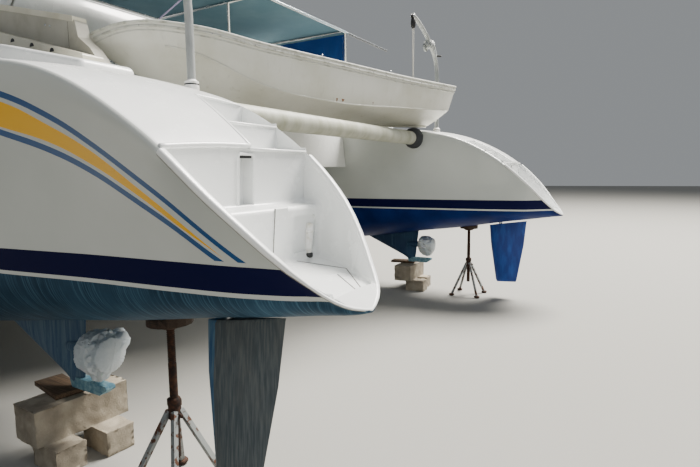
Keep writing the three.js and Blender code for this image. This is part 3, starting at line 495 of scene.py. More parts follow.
fine = [0, 8, 18, 30, 45, 62, 80, 100, 125]
fine += [*range(150, 2000, 30), *range(2000, 11400, 150), *range(11400, 11961, 40)]
hull = hull_skin("port_hull_shell", fine, materials=HULL_FINISHES)
cuts = [cavity(WELL, 22, -700, 700, "y", fine[:60])]
for start, end, z in SHALLOW_STEPS:
    shape = [(start - 8, -600), (start - 8, outer_wall(start)), (end, outer_wall(end)), (end, -600)]
    cuts.append(cavity(shape, 14, z, OPEN_TOP, "z", fine[:75]))
cuts.append(prism("slot", rounded(corners(*SLOT), 8), LEDGE_X - 20, LEDGE_X + 75, "x", HULL_FINISHES, 1))
for tool in cuts:
    carved(hull, tool)
hull.data.transform(Matrix.Translation((0, HULL_Y / 1000, 0)))
smooth(hull)


def around(count):
    """That many angles, once round."""
    return np.linspace(0, 2 * pi, count, endpoint=False)


def skin(name, rows, materials, angle):
    """A closed sweep, shaded smooth up to the angle."""
    return smooth(outward(ribbon(name, rows, materials=materials)), angle)


def tube(name, path, radius, sides=12, materials=(), steps=6, closed=False, squash=1.0):
    """A round bar or pipe through points in metres, on one smooth curve, with domed ends."""
    points = [Vector(p) for p in path]
    radii = list(radius) if hasattr(radius, "__len__") else [radius] * len(points)
    line, widths = [], []
    if steps > 1 and len(points) > 2:
        n = len(points)
        for k in range(n if closed else n - 1):
            p0, p1, p2, p3 = (points[(k + j) % n] if closed else points[max(0, min(n - 1, k + j))] for j in (-1, 0, 1, 2))
            for s in range(steps):
                t = s / steps
                curve = (2 * p1) + (p2 - p0) * t + (2 * p0 - 5 * p1 + 4 * p2 - p3) * t * t
                curve += (3 * p1 - p0 - 3 * p2 + p3) * t**3
                line.append(0.5 * curve)
                widths.append(radii[k] + (radii[(k + 1) % n] - radii[k]) * t)
        if not closed:
            line.append(points[-1])
            widths.append(radii[-1])
    else:
        line, widths = points, radii
    rows = []
    side = None
    count = len(line)
    for k, p in enumerate(line):
        a = line[(k - 1) % count] if closed else line[max(0, k - 1)]
        b = line[(k + 1) % count] if closed else line[min(count - 1, k + 1)]
        way = (b - a).normalized()
        if side is None:
            side = way.cross(Vector((0, 0, 1)) if abs(way.z) < 0.9 else Vector((1, 0, 0)))
        side = (side - way * side.dot(way)).normalized()
        other = way.cross(side)
        rows.append([p + (side * cos(a) + other * sin(a) * squash) * widths[k] for a in around(sides)])
    if closed:
        rows.append(rows[0])
    else:
        for end, way in ((0, line[0] - line[1]), (-1, line[-1] - line[-2])):
            rim, middle, reach = rows[end], line[end], widths[end]
            dome = [[middle + (q - middle) * cos(a) + way.normalized() * reach * 0.35 * sin(a) for q in rim]
                    for a in (0.7, 1.2)]
            rows = (dome[::-1] + rows) if end == 0 else (rows + dome)
    return smooth(outward(ribbon(name, rows, materials=materials, capped=not closed)), 50)


def rod(name, path, radius, sides, material):
    """A tube of one material, straight from each point of its path to the next."""
    return tube(name, path, radius, sides, [material], steps=1)


def breadth(x, z, inset=0.0, inboard=False):
    """A hull's half-breadth in millimetres at a height beside its topsides."""
    _, _, keel, waist, edge, deck = between(STATIONS, x)
    waist += (edge - waist) * float(np.interp(x, PLUMB_X, PLUMB)) * inboard
    waist_z = min(0, keel + (deck - keel) * WAIST_SHARE)
    t = min(1, max(0, (z - waist_z) / (deck - waist_z)))
    return waist + (edge - waist) * t**FLARE - inset


def deck_height(x, y):
    """Height of a hull's deck at x, y millimetres off its middle line."""
    _, _, _, _, edge, deck = between(STATIONS, x)
    return deck + CAMBER * edge / CAMBER_BREADTH * (1 - min(1, abs(y) / edge) ** 2)


def on_hull(x, y, z):
    return at(x, HULL_Y + y, z)


# Rubbing cap: a hollow gelcoated moulding, bonded over the join of topsides and steps with a
# bead of sealant under it; the bead's thin grey line is partly sealant and partly painted shadow under the cap.
CAP_IN, CAP_OUT, CAP_TOP, CAP_LOW, CAP_CORNER = 34, 5, 8, 21, 12
OVER_DECK = 5000
sealant = worn("dark_sealant", "#3b3a36", 0.6, tint=((30,), "#33322f", "#77736a", 0.4, 0.75))
# Grey of the bead under the cap, which also paints the shadow line beneath the cap's edge.
sealant_and_shadow_line = worn("sealant_and_shadow_line", "#97948b", 0.6)
CAP_X = (618, 585, 540, 480, 420, 364, 300, 240, 180, 125, 90, 60, 40, 25, 14, 6)
path = [Vector((x, breadth(x, OVER_DECK), between(STATIONS, x)[5])) for x in CAP_X]
path = path + [Vector((-3, 0, -88))] + [Vector((p.x, -p.y, p.z)) for p in path[::-1]]
shape = rounded(corners(CAP_OUT, -CAP_IN, CAP_TOP, -CAP_LOW), CAP_CORNER, 4)
rows, seam = [], []
for k, p in enumerate(path):
    way = (path[min(len(path) - 1, k + 1)] - path[max(0, k - 1)]).normalized()
    out = p - Vector((p.x + 90, 0, p.z + 70))
    out = (out - way * out.dot(way)).normalized()
    lift = way.cross(out)
    lift = lift if lift.z > 0 else -lift
    squeeze = float(np.interp(p.x, *(([0, 130, 200, 420], [0.34, 0.4, 0.8, 1]) if p.y > 0
                                     else ([0, 60, 420], [0.34, 0.65, 1]))))
    rows.append([on_hull(*(p + out * u * squeeze + lift * v * squeeze)) for u, v in shape])
    seam.append(on_hull(*(p + out * 0.5 - lift * CAP_LOW * squeeze)))
cap = skin("cap", rows, [deck_gelcoat], 40)
# A thin grey line along the cap's lower edge: sealant and painted shadow.
cap_shadow_seam = tube("cap_shadow_seam", seam, 0.0012, 6, [sealant_and_shadow_line], steps=2)


def cove(places, inward, risen, radius):
    """A hollow fillet along a corner, between a floor that runs inward and a wall that rises."""
    rows = []
    for p, a, b in zip(places, inward, risen):
        arc = [p + a * radius * (1 - sin(t)) + b * radius * (1 - cos(t)) for t in np.linspace(0, pi / 2, 7)]
        rows.append([on_hull(*q) for q in arc + [p - a * 2 - b * 2]])
    return skin("cove", rows, [deck_gelcoat], 50)


# Fillets where the treads and risers meet the bulwarks, and the corner at the foot of a riser.
profile = [Vector((x, 0, z)) for x, z in rounded(WELL, 22)]
profile = [p for p in profile if p.x > 75 and p.z < 575]
start = min(range(len(profile)), key=lambda k: profile[k].x + profile[k].z)
profile = profile[start:] + profile[:start]
dense = []
for a, b in zip(profile, profile[1:]):
    n = max(1, int((b - a).length / 40))
    dense += [a + (b - a) * k / n for k in range(n)]
dense.append(profile[-1])
coves = []
for sign in (1, -1):
    places = [Vector((p.x, sign * breadth(p.x, p.z, BULWARK, sign < 0), p.z)) for p in dense]
    normals = []
    for k in range(len(dense)):
        way = (dense[min(len(dense) - 1, k + 1)] - dense[max(0, k - 1)]).normalized()
        normals.append(Vector((-way.z, 0, way.x)))
    coves.append(cove(places, [Vector((0, -sign, 0))] * len(places), normals, 26))

# Ledge and shallow steps: raised lips that the mould leaves along each edge.
def over_deck(points, lift=0.0):
    return [on_hull(x, y, deck_height(x, y) + lift) for x, y in points]


ledge_left = [(LEDGE_X + 4, y) for y in np.linspace(breadth(LEDGE_X, OVER_DECK) - 30, outer_wall(LEDGE_X), 9)]
diagonal = [(x, outer_wall(x)) for x in np.linspace(LEDGE_X + 4, STEPS_END, 9)]
head_wall = [(STEPS_END, y) for y in np.linspace(outer_wall(STEPS_END), -breadth(STEPS_END, OVER_DECK) + 40, 6)]
lips = [tube("lip", over_deck(edge, lift), radius, 8, [deck_gelcoat], steps=2)
        for edge, lift, radius in ((ledge_left, -9, 0.0125), (diagonal, -9, 0.0125), (head_wall, -4, 0.007))]
for start, end, z in SHALLOW_STEPS:
    y_in = 4 - breadth(start, z, BULWARK, True)
    lips.append(rod("lip", [on_hull(start - 1, y, z - 4) for y in (outer_wall(start), y_in)], 0.007, 8, deck_gelcoat))
    for corner, inward, radius in (
            ([(x, outer_wall(x), z) for x in (start, end)], (0, -1, 0), 18),
            ([(x, -breadth(x, z, BULWARK, True), z) for x in np.linspace(start, end, 5)], (0, 1, 0), 18),
            ([(end, y, z) for y in (outer_wall(end), -breadth(end, z, BULWARK, True))], (-1, 0, 0), 16)):
        coves.append(cove([Vector(p) for p in corner], [Vector(inward)] * len(corner), [Vector((0, 0, 1))] * len(corner),
                          radius))


def riser_x(z):
    """How far forward the lower riser stands at a height."""
    return PLATFORM_FORE - (PLATFORM_FORE - TREAD_X) * (z - PLATFORM_Z) / (TREAD_Z - PLATFORM_Z)


def platform_z(x):
    return -30 + (PLATFORM_Z + 30) * (x - PLATFORM_AFT) / (PLATFORM_FORE - PLATFORM_AFT)


# Lower riser: a locker door's raised stile between two dark seams, a shallow pocket beside it
# and in the pocket a white drain pipe with a black foot.
STILE, POCKET, PIPE_Y, PIPE_R = (-172, -82), (-425, -225, 62, 256), -372, 19
DRAFT, DRAFT_Y, DRAFT_Z = 0.95, -335, 159
stile = rounded(corners(*STILE, PLATFORM_Z + 6, TREAD_Z - 3), 5, 3)
door = outward(ribbon("stile", [[on_hull(riser_x(z) - d, y, z) for y, z in stile] for d in (-8, 5)],
                      materials=[deck_gelcoat]))
pocket = [[on_hull(riser_x(z) - d, y * k + (1 - k) * DRAFT_Y, z * k + (1 - k) * DRAFT_Z)
           for y, z in rounded(corners(*POCKET), 26)] for d, k in ((40, 1.0), (-14, DRAFT))]
carved(hull, outward(ribbon("pocket", pocket, materials=HULL_FINISHES, part=1)))
smooth(hull)
fittings = [rod("stile_seam", [on_hull(riser_x(z) - 1, y, z) for z in (PLATFORM_Z + 4, TREAD_Z - 2)],
                0.0026, 6, sealant) for y in STILE]
white_plastic = worn("white_pipe_plastic", "#e9e9e5", 0.45, tint=((25,), "#ececea", "#cfcbbd", 0.4, 0.8))
black_rubber = worn("black_rubber", "#17181a", 0.55, relief=[((6,), 0.3, 0.5)])
pipe, pipe_ring = [[on_hull(riser_x(z) + 2, PIPE_Y, z) for z in levels] for levels in ((56, 120, 204), (164, 172))]
fittings += [tube("pipe", pipe, PIPE_R / 1000, 18, [white_plastic], steps=2),
             rod("pipe_ring", pipe_ring, (PIPE_R + 3) / 1000, 18, white_plastic),
             rod("pipe_foot", [on_hull(riser_x(50) - 2, PIPE_Y, z) for z in (34, 50)], (PIPE_R + 2) / 1000,
                 18, black_rubber)]

# Platform: seams of the swim ladder's lid, filled with sealant.
PLATFORM_SEAMS = [[(556, -252), (315, -326), (60, -44)], [(284, -197), (62, -14)]]
for seam_line in PLATFORM_SEAMS:
    dense_line = [(a[0] + (b[0] - a[0]) * t, a[1] + (b[1] - a[1]) * t) for a, b in zip(seam_line, seam_line[1:])
                  for t in np.linspace(0, 1, 6)]
    fittings.append(rod("platform_seam", [on_hull(x, y, platform_z(x) + 0.4) for x, y in dense_line], 0.0022, 6, sealant))

# Ladder slot: its rounded surround, and a black block at its top that is painted shade in the slit.
def upper_riser_x(z):
    return LEDGE_X + 20 - 20 * (z - TREAD_Z - 10) / 390


surround = rounded(corners(SLOT[0] - 5, SLOT[1] + 5, SLOT[2] - 2, SLOT[3] + 7), 14)
fittings.append(tube("slot_surround", [on_hull(upper_riser_x(z) - 1, y, z) for y, z in surround],
                     0.007, 8, [deck_gelcoat], steps=1, closed=True))
# A black block inside the slot's top, standing for the shade in the dark slit there.
slit_shade = rounded(corners(SLOT[0] + 4, SLOT[1] - 8, SLOT[3] - 11, SLOT[3] - 1), 3, 2)
slit_shade_rows = [[on_hull(upper_riser_x(z) + d, y, z) for y, z in slit_shade] for d in (3, 40)]
fittings.append(outward(ribbon("slit_shade", slit_shade_rows, materials=[black_rubber])))

# Deck hatches: a moulded coaming under each lid, round an opening into a locker whose grey floor is partly its paint
# and partly painted shade.
# Grey locker paint, dark enough to stand also for painted shade inside the locker.
locker_paint_and_shade = worn("locker_paint_and_shade", "#5b5f61", 0.7, tint=((90,), "#5f6365", "#484b4c", 0.4, 0.8))
LIDS = [("foredeck_hatch", 8800, 2550, 520, 520, 1376), ("engine_hatch", 3300, 2740, 620, 420, 1215)]
LID_CORNER, COAMING_IN, COAMING_WALL, LOCKER_DEEP = 46, 15, 40, 260


def lid_outline(x, y, length, width, inset=0.0, radius=None):
    """The plan of a hatch lid, or of something that much smaller all round."""
    half_x, half_y = length / 2 - inset, width / 2 - inset
    radius = LID_CORNER - inset / 3 if radius is None else radius
    return rounded(corners(x - half_x, x + half_x, y - half_y, y + half_y), radius)


for _, *plan, z in LIDS:
    inner = COAMING_IN + COAMING_WALL
    carved(hull, prism("hole", lid_outline(*plan, inner - 3), z - LOCKER_DEEP, z + 300, "z", HULL_FINISHES, 1))
    coaming = prism("coaming", lid_outline(*plan, COAMING_IN), z - 90, z - 0.5, "z", [deck_gelcoat])
    fittings += [smooth(carved(coaming, prism("opening", lid_outline(*plan, inner), z - 200, z + 100,
                                              "z", [deck_gelcoat]))),
                 prism("locker_floor", lid_outline(*plan, inner - 5), z - LOCKER_DEEP - 1, z - LOCKER_DEEP + 6,
                       "z", [locker_paint_and_shade])]
smooth(hull)
joined(hull, cap, *coves, *lips, door, *fittings, cap_shadow_seam)
hull.name = hull.data.name = "port_hull_moulding"
fitted(mirrored(hull, "starboard_hull_moulding"), "boat", "gelcoat", "starboard_hull")
fitted(hull, "boat", "gelcoat", "port_hull")

# Mini keels, skegs and rudders: solid glass fibre foils under the hulls, rolled with the same
# antifouling. The port rudder and skeg have faded to a streaky grey blue; the starboard rudder
# has a fresh royal blue coat.
faded_blue, tree, shader, where = surface("faded_antifouling", "#4b6c84", 0.72)
drips = ramp(tree, mottle(tree, where, 10, 3, (1, 1, 40)), "#454f55", "#666d6f", 0.34, 0.75)
stains = ramp(tree, mottle(tree, where, 210, 4, (1, 1, 1.6)), 0.0, 0.5, 0.45, 0.8)
worn_off = mixed(tree, stains, drips, linear("#6c6d69"))
RUDDER_LEAD_X, SKEG_X = 0.865 - MIDSHIPS, 1.2 - MIDSHIPS
from_aft = add(tree, "ShaderNodeSeparateXYZ", {"Vector": where}).outputs["X"]
ragged = reckon(tree, "ADD", from_aft, reckon(tree, "MULTIPLY", mottle(tree, where, 40, 3, (1, 1, 9)), 0.05))
rudder_lead = reckon(tree, "MULTIPLY", reckon(tree, "GREATER_THAN", ragged, RUDDER_LEAD_X),
                     reckon(tree, "LESS_THAN", from_aft, SKEG_X))
on_skeg = reckon(tree, "GREATER_THAN", from_aft, SKEG_X)
fresh = ramp(tree, mottle(tree, where, 18, 3, (1, 1, 20)), "#27567f", "#5a7c92", 0.35, 0.7)
wire(tree, mixed(tree, reckon(tree, "MAXIMUM", rudder_lead, reckon(tree, "MULTIPLY", on_skeg, 0.6)), worn_off, fresh),
     shader, "Base Color")
bump(tree, shader, mottle(tree, where, 7, 2, (1, 1, 12)), 0.7, 0.5)
royal_blue = worn("royal_antifouling", "#0c3f96", 0.55, tint=((60, 4, (1, 1, 4)), "#0a3584", "#1d55ac", 0.35, 0.8),
                  relief=[((10, 2, (1, 1, 6)), 0.6, 0.5)])
# The keels' paint was rolled on in thin coats and scrubbed, which leaves slanting pale streaks.
SCRUB = (0, radians(50), 0)
dark_blue, tree, shader, where = surface("dark_antifouling", "#123354", 0.7)
patches = ramp(tree, mottle(tree, where, 420), "#123354", "#21506f", 0.35, 0.8)
strokes = ramp(tree, mottle(tree, where, 14, 2, (1, 1, 30), SCRUB), 0.0, 0.55, 0.55, 0.9)
wire(tree, mixed(tree, strokes, patches, linear("#6d8fa3")), shader, "Base Color")
bump(tree, shader, mottle(tree, where, 9, 2, (1, 1, 8), SCRUB), 0.8, 0.5)


def foil(name, rows, materials):
    """A streamlined fin from rows of leading edge, trailing edge, half-thickness, their heights and lean outboard."""
    shares = 0.5 - 0.5 * np.cos(np.linspace(0, pi, 13))
    width = 2 * (1.4845 * np.sqrt(shares) - 0.63 * shares - 1.758 * shares**2 + 1.4215 * shares**3 - 0.5075 * shares**4)
    rings = []
    for lead, trail, half, lead_z, trail_z, lean in rows:
        side = [(lead + (trail - lead) * t, half * w, lead_z + (trail_z - lead_z) * t) for t, w in zip(shares, width)]
        rings.append([on_hull(x, y + lean, z) for x, y, z in side + [(x, -y, z) for x, y, z in side[-1:0:-1]]])
    return skin(name, rings, materials, 40)


KEEL_ROWS = [(7250, 4500, 130, -300, -300, 0), (7250, 4500, 130, -560, -560, 0), (6950, 4850, 95, -1070, -1070, 0),
             (6900, 4885, 84, -1115, -1115, 0), (6880, 4900, 70, -1130, -1130, 0)]
SKEG_ROWS = [(3100, 1925, 60, -250, -250, 0), (2744, 1947, 60, -500, -402, 0), (2180, 1985, 40, -745, -720, 0),
             (2090, 1993, 34, -800, -764, 0)]
RUDDER_ROWS = [(916, 434, 30, -250, -182, 0), (914, 438, 37, -264, -196, 1), (900, 470, 34, -500, -500, 25),
               (834, 560, 22, -1000, -990, 67), (822, 568, 16, -1020, -1008, 68), (815, 575, 8, -1028, -1014, 69)]
HEEL = [(1711, -767), (1813, -833), (2090, -833), (2110, -767)]
SHAFT_Z, STOCK_X = -575, 770
keel = fitted(foil("port_mini_keel", KEEL_ROWS, [dark_blue]), "boat", "antifouling", "port_keel")
fitted(mirrored(keel, "starboard_mini_keel"), "boat", "antifouling", "starboard_keel")

teal_paint = worn("heel_paint", "#5f8b9c", 0.7, tint=((30, 4), "#4f7c90", "#84a6ae", 0.35, 0.7))
skeg = foil("port_skeg_fin", SKEG_ROWS, [faded_blue])
heel = prism("heel", rounded(HEEL, 14), HULL_Y - 31, HULL_Y + 31, materials=[teal_paint])
boss = tube("boss", [on_hull(x, 0, SHAFT_Z) for x in (1932, 1960, 2100, 2135)], [0.034, 0.041, 0.042, 0.03],
            20, [faded_blue], steps=3)
joined(skeg, smooth(heel, 40), boss)
twin = mirrored(skeg, "starboard_skeg_fin")
twin.data.materials[0] = dark_blue
fitted(skeg, "boat", "antifouling", "port_skeg")
fitted(twin, "boat", "antifouling", "starboard_skeg")

stock_steel = worn("stock_stainless", "#b9bcbe", 0.32, 1.0, gloss=((20,), 0.25, 0.42))
rudder = foil("port_rudder_blade", RUDDER_ROWS, [faded_blue])
stock = rod("stock", [on_hull(STOCK_X, 0, z) for z in (-300, -180, -62)], 0.0215, 18, stock_steel)
joined(rudder, stock)
fitted(rudder, "port_rudder", "antifouling", "port_rudder")
twin = mirrored(rudder, "starboard_rudder_blade")
twin.data.materials[0] = royal_blue
fitted(twin, "starboard_rudder", "blue_antifouling", "starboard_rudder")

# Propellers: cast bronze, hidden in their bags, dull and a little green from the sea.
bronze = worn("dull_bronze", "#8a6a35", 0.42, 1.0, tint=((22, 4), "#94723c", "#5d6b4c", 0.45, 0.8),
              relief=[((5,), 0.3, 0.4)])
for side in ("port", "starboard"):
    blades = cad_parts[f"{side}_propeller"]
    blades.data.materials.clear()
    blades.data.materials.append(bronze)

# Propeller bags: a white polythene bag pulled over each propeller and tied round the shaft
# boss. The film is thin, so it creases sharply, sags to one side and lets a little light in.
film = worn("white_polythene", "#dfe3e4", 0.3, tint=((120, 3), "#e6eaeb", "#cfd6d9", 0.35, 0.75),
            relief=[((26, 3, (2.5, 1, 1)), 4, 0.55), ((9, 2, (3, 1, 1)), 1.0, 0.5)], transmission_weight=0.18,
            subsurface_weight=0.15)
# How far the bag stands out round the shaft, by degrees up from inboard: pulled to a corner
# inboard and to another below, slack elsewhere.
BAG_LOBES = ((-180, -125, -112, -101, -92, -72, -25, 0, 18, 27, 45, 65),
             (0.8, 0.8, 1.0, 1.12, 1.02, 0.8, 0.8, 1.02, 1.28, 1.24, 0.96, 0.8))
BAG_RINGS = [(1945, 46), (1938, 47), (1928, 66), (1912, 108), (1888, 142), (1860, 156), (1820, 160),
             (1785, 150), (1755, 132), (1728, 100), (1710, 64), (1702, 30), (1700, 0.4)]


def thickened(thing, thick_mm, angle):
    """Gives a sheet its thickness, half to each side, and shades it smooth up to the angle."""
    step = thing.modifiers.new("thickness", "SOLIDIFY")
    step.thickness, step.offset = thick_mm / 1000, 0
    return smooth(applied(thing), angle)


def crumpled(name, rings, turns, drop, crease_mm, seed, materials):
    """A gathered bag round a fore-and-aft line: rings of radius, pulled in by sharp folds."""
    rows = []
    fine_rings = [between(np.array(rings[::-1], float), x) for x in np.linspace(rings[-1][0], rings[0][0], 64)]
    for x, radius in fine_rings:
        row = []
        slack = min(1.0, max(0.0, (rings[0][0] - 25 - x) / 60))
        for k in range(turns):
            a = 2 * pi * k / turns
            q = Vector((x / 85 + seed, 1.9 * cos(a), 1.9 * sin(a)))
            lobe = 1 + slack * (float(np.interp(degrees(pi - a), *BAG_LOBES, period=360)) - 1)
            fold = abs(noise.noise(q)) + 0.5 * abs(noise.noise(q * 2.3 + Vector((0, 0, seed))))
            wrinkle = 5 * (1 - 2.4 * abs(noise.noise(q * 4.2))) + 3 * noise.noise(q * 11)
            kept = min(radius, 123 if abs(x - 1835) < 48 else 96)
            pulled = max(radius * lobe - slack * crease_mm * (1 - min(1, fold * 1.8)), kept)
            r = pulled + slack * max(0, wrinkle) * min(1, radius / 70)
            row.append(on_hull(x, r * cos(a), SHAFT_Z + r * sin(a) - drop * slack * max(0, -sin(a))))
        rows.append(row)
    return thickened(outward(ribbon(name, rows, materials=materials, capped=False)), 0.6, 38)


bag = crumpled("port_bag", BAG_RINGS, turns=120, drop=8, crease_mm=24, seed=3.7, materials=[film])
tie = tube("port_bag_tie", [on_hull(1934 + 3 * sin(5 * a), 49 * cos(a), SHAFT_Z + 49 * sin(a)) for a in around(20)],
           0.0035, 8, [black_rubber], steps=3, closed=True)
for side, thing, string in (("port", bag, tie),
                            ("starboard", mirrored(bag, "starboard_bag"), mirrored(tie, "starboard_bag_tie"))):
    fitted(thing, "boat", "plastic_bag", f"{side}_propeller_bag")
    fitted(string, "boat", "plastic_bag")


def solid(name, node, materials):
    """A copy of a CAD solid with finishes of its own, and its welded mesh to work on."""
    copy = linked(name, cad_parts[node].data.copy())
    copy.data.name = name
    copy.data.materials.clear()
    for m in materials:
        copy.data.materials.append(m)
    work = bmesh.new()
    work.from_mesh(copy.data)
    bmesh.ops.remove_doubles(work, verts=work.verts, dist=2e-5)
    for face in work.faces:
        face.material_index = 0
    return copy, work


def softened(name, node, width_mm, materials, segments=2, rough_mm=0.0, grain_mm=60.0, cell_mm=60.0, smooth_to=35,
             hollows=True):
    """A copy of a CAD solid with its flat faces joined, its edges rounded and, if wanted, its faces worn uneven."""
    copy, work = solid(name, node, materials)
    bmesh.ops.dissolve_limit(work, angle_limit=radians(1.5), verts=work.verts, edges=work.edges)
    weights = work.edges.layers.float.new("bevel_weight_edge")
    for e in work.edges:
        sharp = len(e.link_faces) == 2 and e.calc_face_angle() > radians(30) and (hollows or e.is_convex)
        e[weights] = 1.0 if sharp else 0.0
    work.to_mesh(copy.data)
    work.free()
    if width_mm:
        edge = copy.modifiers.new("edge", "BEVEL")
        edge.width, edge.segments, edge.limit_method = width_mm / 1000, segments, "WEIGHT"
        edge.use_clamp_overlap = True
        applied(copy)
    if rough_mm:
        work = bmesh.new()
        work.from_mesh(copy.data)
        bmesh.ops.triangulate(work, faces=work.faces)
        for _ in range(5):
            long_edges = [e for e in work.edges if e.calc_length() > cell_mm / 1000]
            if not long_edges:
                break
            bmesh.ops.subdivide_edges(work, edges=long_edges, cuts=1, use_grid_fill=False)
            bmesh.ops.triangulate(work, faces=[f for f in work.faces if len(f.verts) > 3])
        work.normal_update()
        for v in work.verts:
            v.co += v.normal * (noise.noise(v.co * 1000 / grain_mm) - 0.35) * rough_mm / 1000
        work.to_mesh(copy.data)
        work.free()
    return smooth(copy, smooth_to)


def dressed(name, node, slot, material, width_mm, segments=2, **how):
    """A softened copy of one of the boat's solids, handed in for that solid."""
    return fitted(softened(name, node, width_mm, [material], segments, **how), "boat", slot, node)


# Supports: cast concrete sleepers with chipped edges, on short blocks, and sawn timber packing
# and keel timbers, grey from years in the yard. The boat's weight sits on them.
concrete, tree, shader, where = surface("yard_concrete", "#8d8473", 0.92)
pale = ramp(tree, mottle(tree, where, 130, 6), "#8c8272", "#a79d8b", 0.35, 0.7)
wire(tree, mixed(tree, ramp(tree, mottle(tree, where, 300, 4), 0.0, 0.7, 0.5, 0.8), pale, linear("#5e554a")),
     shader, "Base Color")
bump(tree, shader, mottle(tree, where, 12, 6), 3, 0.7)
pits = add(tree, "ShaderNodeTexVoronoi", {"Vector": where, "Scale": 55.0}).outputs["Distance"]
bump(tree, shader, ramp(tree, pits, 0.0, 1.0, 0.05, 0.3), 2, 0.4)


def grained(name, dark, light, turn=0.0, grain_mm=7, roughness=0.85):
    """Sawn softwood: growth rings drawn out along its length, splits and grey weathering."""
    made, tree, shader, where = surface(name, dark, roughness)
    rings = mottle(tree, where, grain_mm, 4, (34, 1, 1), (0, 0, -turn))
    blotch = ramp(tree, mottle(tree, where, 180, 4), 0.0, 0.6, 0.5, 0.8)
    wire(tree, mixed(tree, blotch, ramp(tree, rings, dark, light, 0.32, 0.68), linear("#4c4339")), shader, "Base Color")
    bump(tree, shader, rings, 2.0, 0.7)
    return made


SIDES = (("port", 1), ("starboard", -1))
keel_wood = grained("keel_timber_wood", "#5b4c3b", "#8c7b62")
for side, sign in SIDES:
    packing_wood = grained(f"{side}_packing_wood", "#3d2e20", "#65503a", sign * radians(8))
    dressed(f"{side}_keel_baulk", f"{side}_keel_timber", "timber", keel_wood, 9, rough_mm=6, grain_mm=300, cell_mm=140)
    dressed(f"{side}_block_stack", f"{side}_sleeper", "concrete", concrete, 12, rough_mm=9, grain_mm=45, cell_mm=36)
    dressed(f"{side}_packing_block", f"{side}_packing", "timber", packing_wood, 4, rough_mm=3, grain_mm=120, cell_mm=50)

# Jack stands: a screwed steel post, brown with rust, on a tripod of angle-iron legs with the
# last of their grey paint, under a plywood pad that takes the shape of the hull.
rust = worn("rusty_steel", "#3a2620", 0.85, 0.25, tint=((24, 6), "#291c17", "#593824", 0.35, 0.8),
            relief=[((7, 6), 1.4, 0.7)])
leg_paint, tree, shader, where = surface("worn_leg_paint", "#8a8d8c", 0.7, 0.2)
flaked = ramp(tree, mottle(tree, where, 40, 6), 0.0, 1.0, 0.52, 0.6)
wire(tree, mixed(tree, flaked, linear("#8f9392"), linear("#5a3a29")), shader, "Base Color")
bump(tree, shader, flaked, 0.5, 0.6)
ply = grained("plywood_pad", "#2c211b", "#463527", 0.0, 4)
THREAD_PITCH, POST_TOP, FOOT_LOW, FOOT_TOP = 11, 240, -1222, -1214
STANDS = [("aft", 1200, 250, -790), ("forward", 9700, 300, -820)]
for end, x, reach, collar in STANDS:
    top = between(STATIONS, x)[2]
    threads = [(22 if k % 2 else 18.5) for k in range(2 * POST_TOP // THREAD_PITCH)]
    levels = [top - 22 - k * THREAD_PITCH / 2 for k in range(len(threads))]
    post = tube("post", [on_hull(x, 0, z) for z in levels], [r / 1000 for r in threads], 18, [rust, leg_paint, ply],
                steps=1)
    parts = [rod("post", [on_hull(x, 0, z) for z in (levels[-1], -900, -1050)], 0.022, 18, rust),
             rod("collar", [on_hull(x, 0, z) for z in (collar - 42, collar + 30)], 0.034, 18, rust),
             rod("nut", [on_hull(x, 0, z) for z in (collar + 30, collar + 62)], 0.04, 6, rust),
             tube("handle", [on_hull(x - 62, 6, collar - 20), on_hull(x - 20, 0, collar - 14)], 0.009, 8, [rust], steps=2)]
    for degrees_round in (45, 135, 225, 315):
        a = radians(degrees_round)
        foot_x, foot_y = x + reach * cos(a), reach * sin(a)
        leg = [on_hull(x + 30 * cos(a), 30 * sin(a), collar), on_hull(foot_x, foot_y, FOOT_LOW + 3)]
        parts += [rod("leg", leg, 0.019, 4, leg_paint),
                  rod("foot", [on_hull(foot_x, foot_y, z) for z in (FOOT_LOW, FOOT_TOP)], 0.038, 14, rust)]
    parts.append(rod("plate", [on_hull(x, 0, z) for z in (top - 38, top - 31)], 0.07, 24, rust))
    pad, work = solid("pad", f"port_{end}_stand", [ply])
    middle = on_hull(x, 0, top - 34)
    waste = [f for f in work.faces if min(v.co.z for v in f.verts) < middle.z - 0.002
             or max(hypot(v.co.x - middle.x, v.co.y - middle.y) for v in f.verts) < 0.05]
    bmesh.ops.delete(work, geom=waste, context="FACES")
    bmesh.ops.holes_fill(work, edges=work.edges)
    work.to_mesh(pad.data)
    work.free()
    smooth(pad, 30)
    joined(post, *parts, pad)
    post.name = post.data.name = f"port_{end}_jack"
    fitted(mirrored(post, f"starboard_{end}_jack"), "boat", "rusty_steel", f"starboard_{end}_stand")
    fitted(post, "boat", "rusty_steel", f"port_{end}_stand")

# Bridgedeck: one moulding between the hulls, with the well for cockpit and saloon. Its edges
# are rounded where the glass was laid over the mould.
dressed("bridgedeck_moulding", "bridgedeck", "gelcoat", deck_gelcoat, 14, 3, hollows=False)

# Coachroof: a moulded shell with a rounded brow, a rim for the roof hatch, and openings behind
# the bonded band of smoked acrylic. Smoked acrylic is grey, glossy and lets some light through.
ROOF_AFT, ROOF_WALL = 4560, 40
ROOF = np.array([(1000, 1700, 7300, 8420), (1330, 1690, 7200, 8330), (1960, 1560, 6700, 7560), (2180, 1500, 6440, 7220),
                 (2300, 1425, 6260, 7000), (2390, 1310, 6080, 6780), (2430, 1200, 5920, 6600), (2440, 1080, 5800, 6480)],
                float)
WINDOW_LOW, WINDOW_TOP = 1500, 1880
SQUARENESS, ROOF_STEPS = 2.6, 56


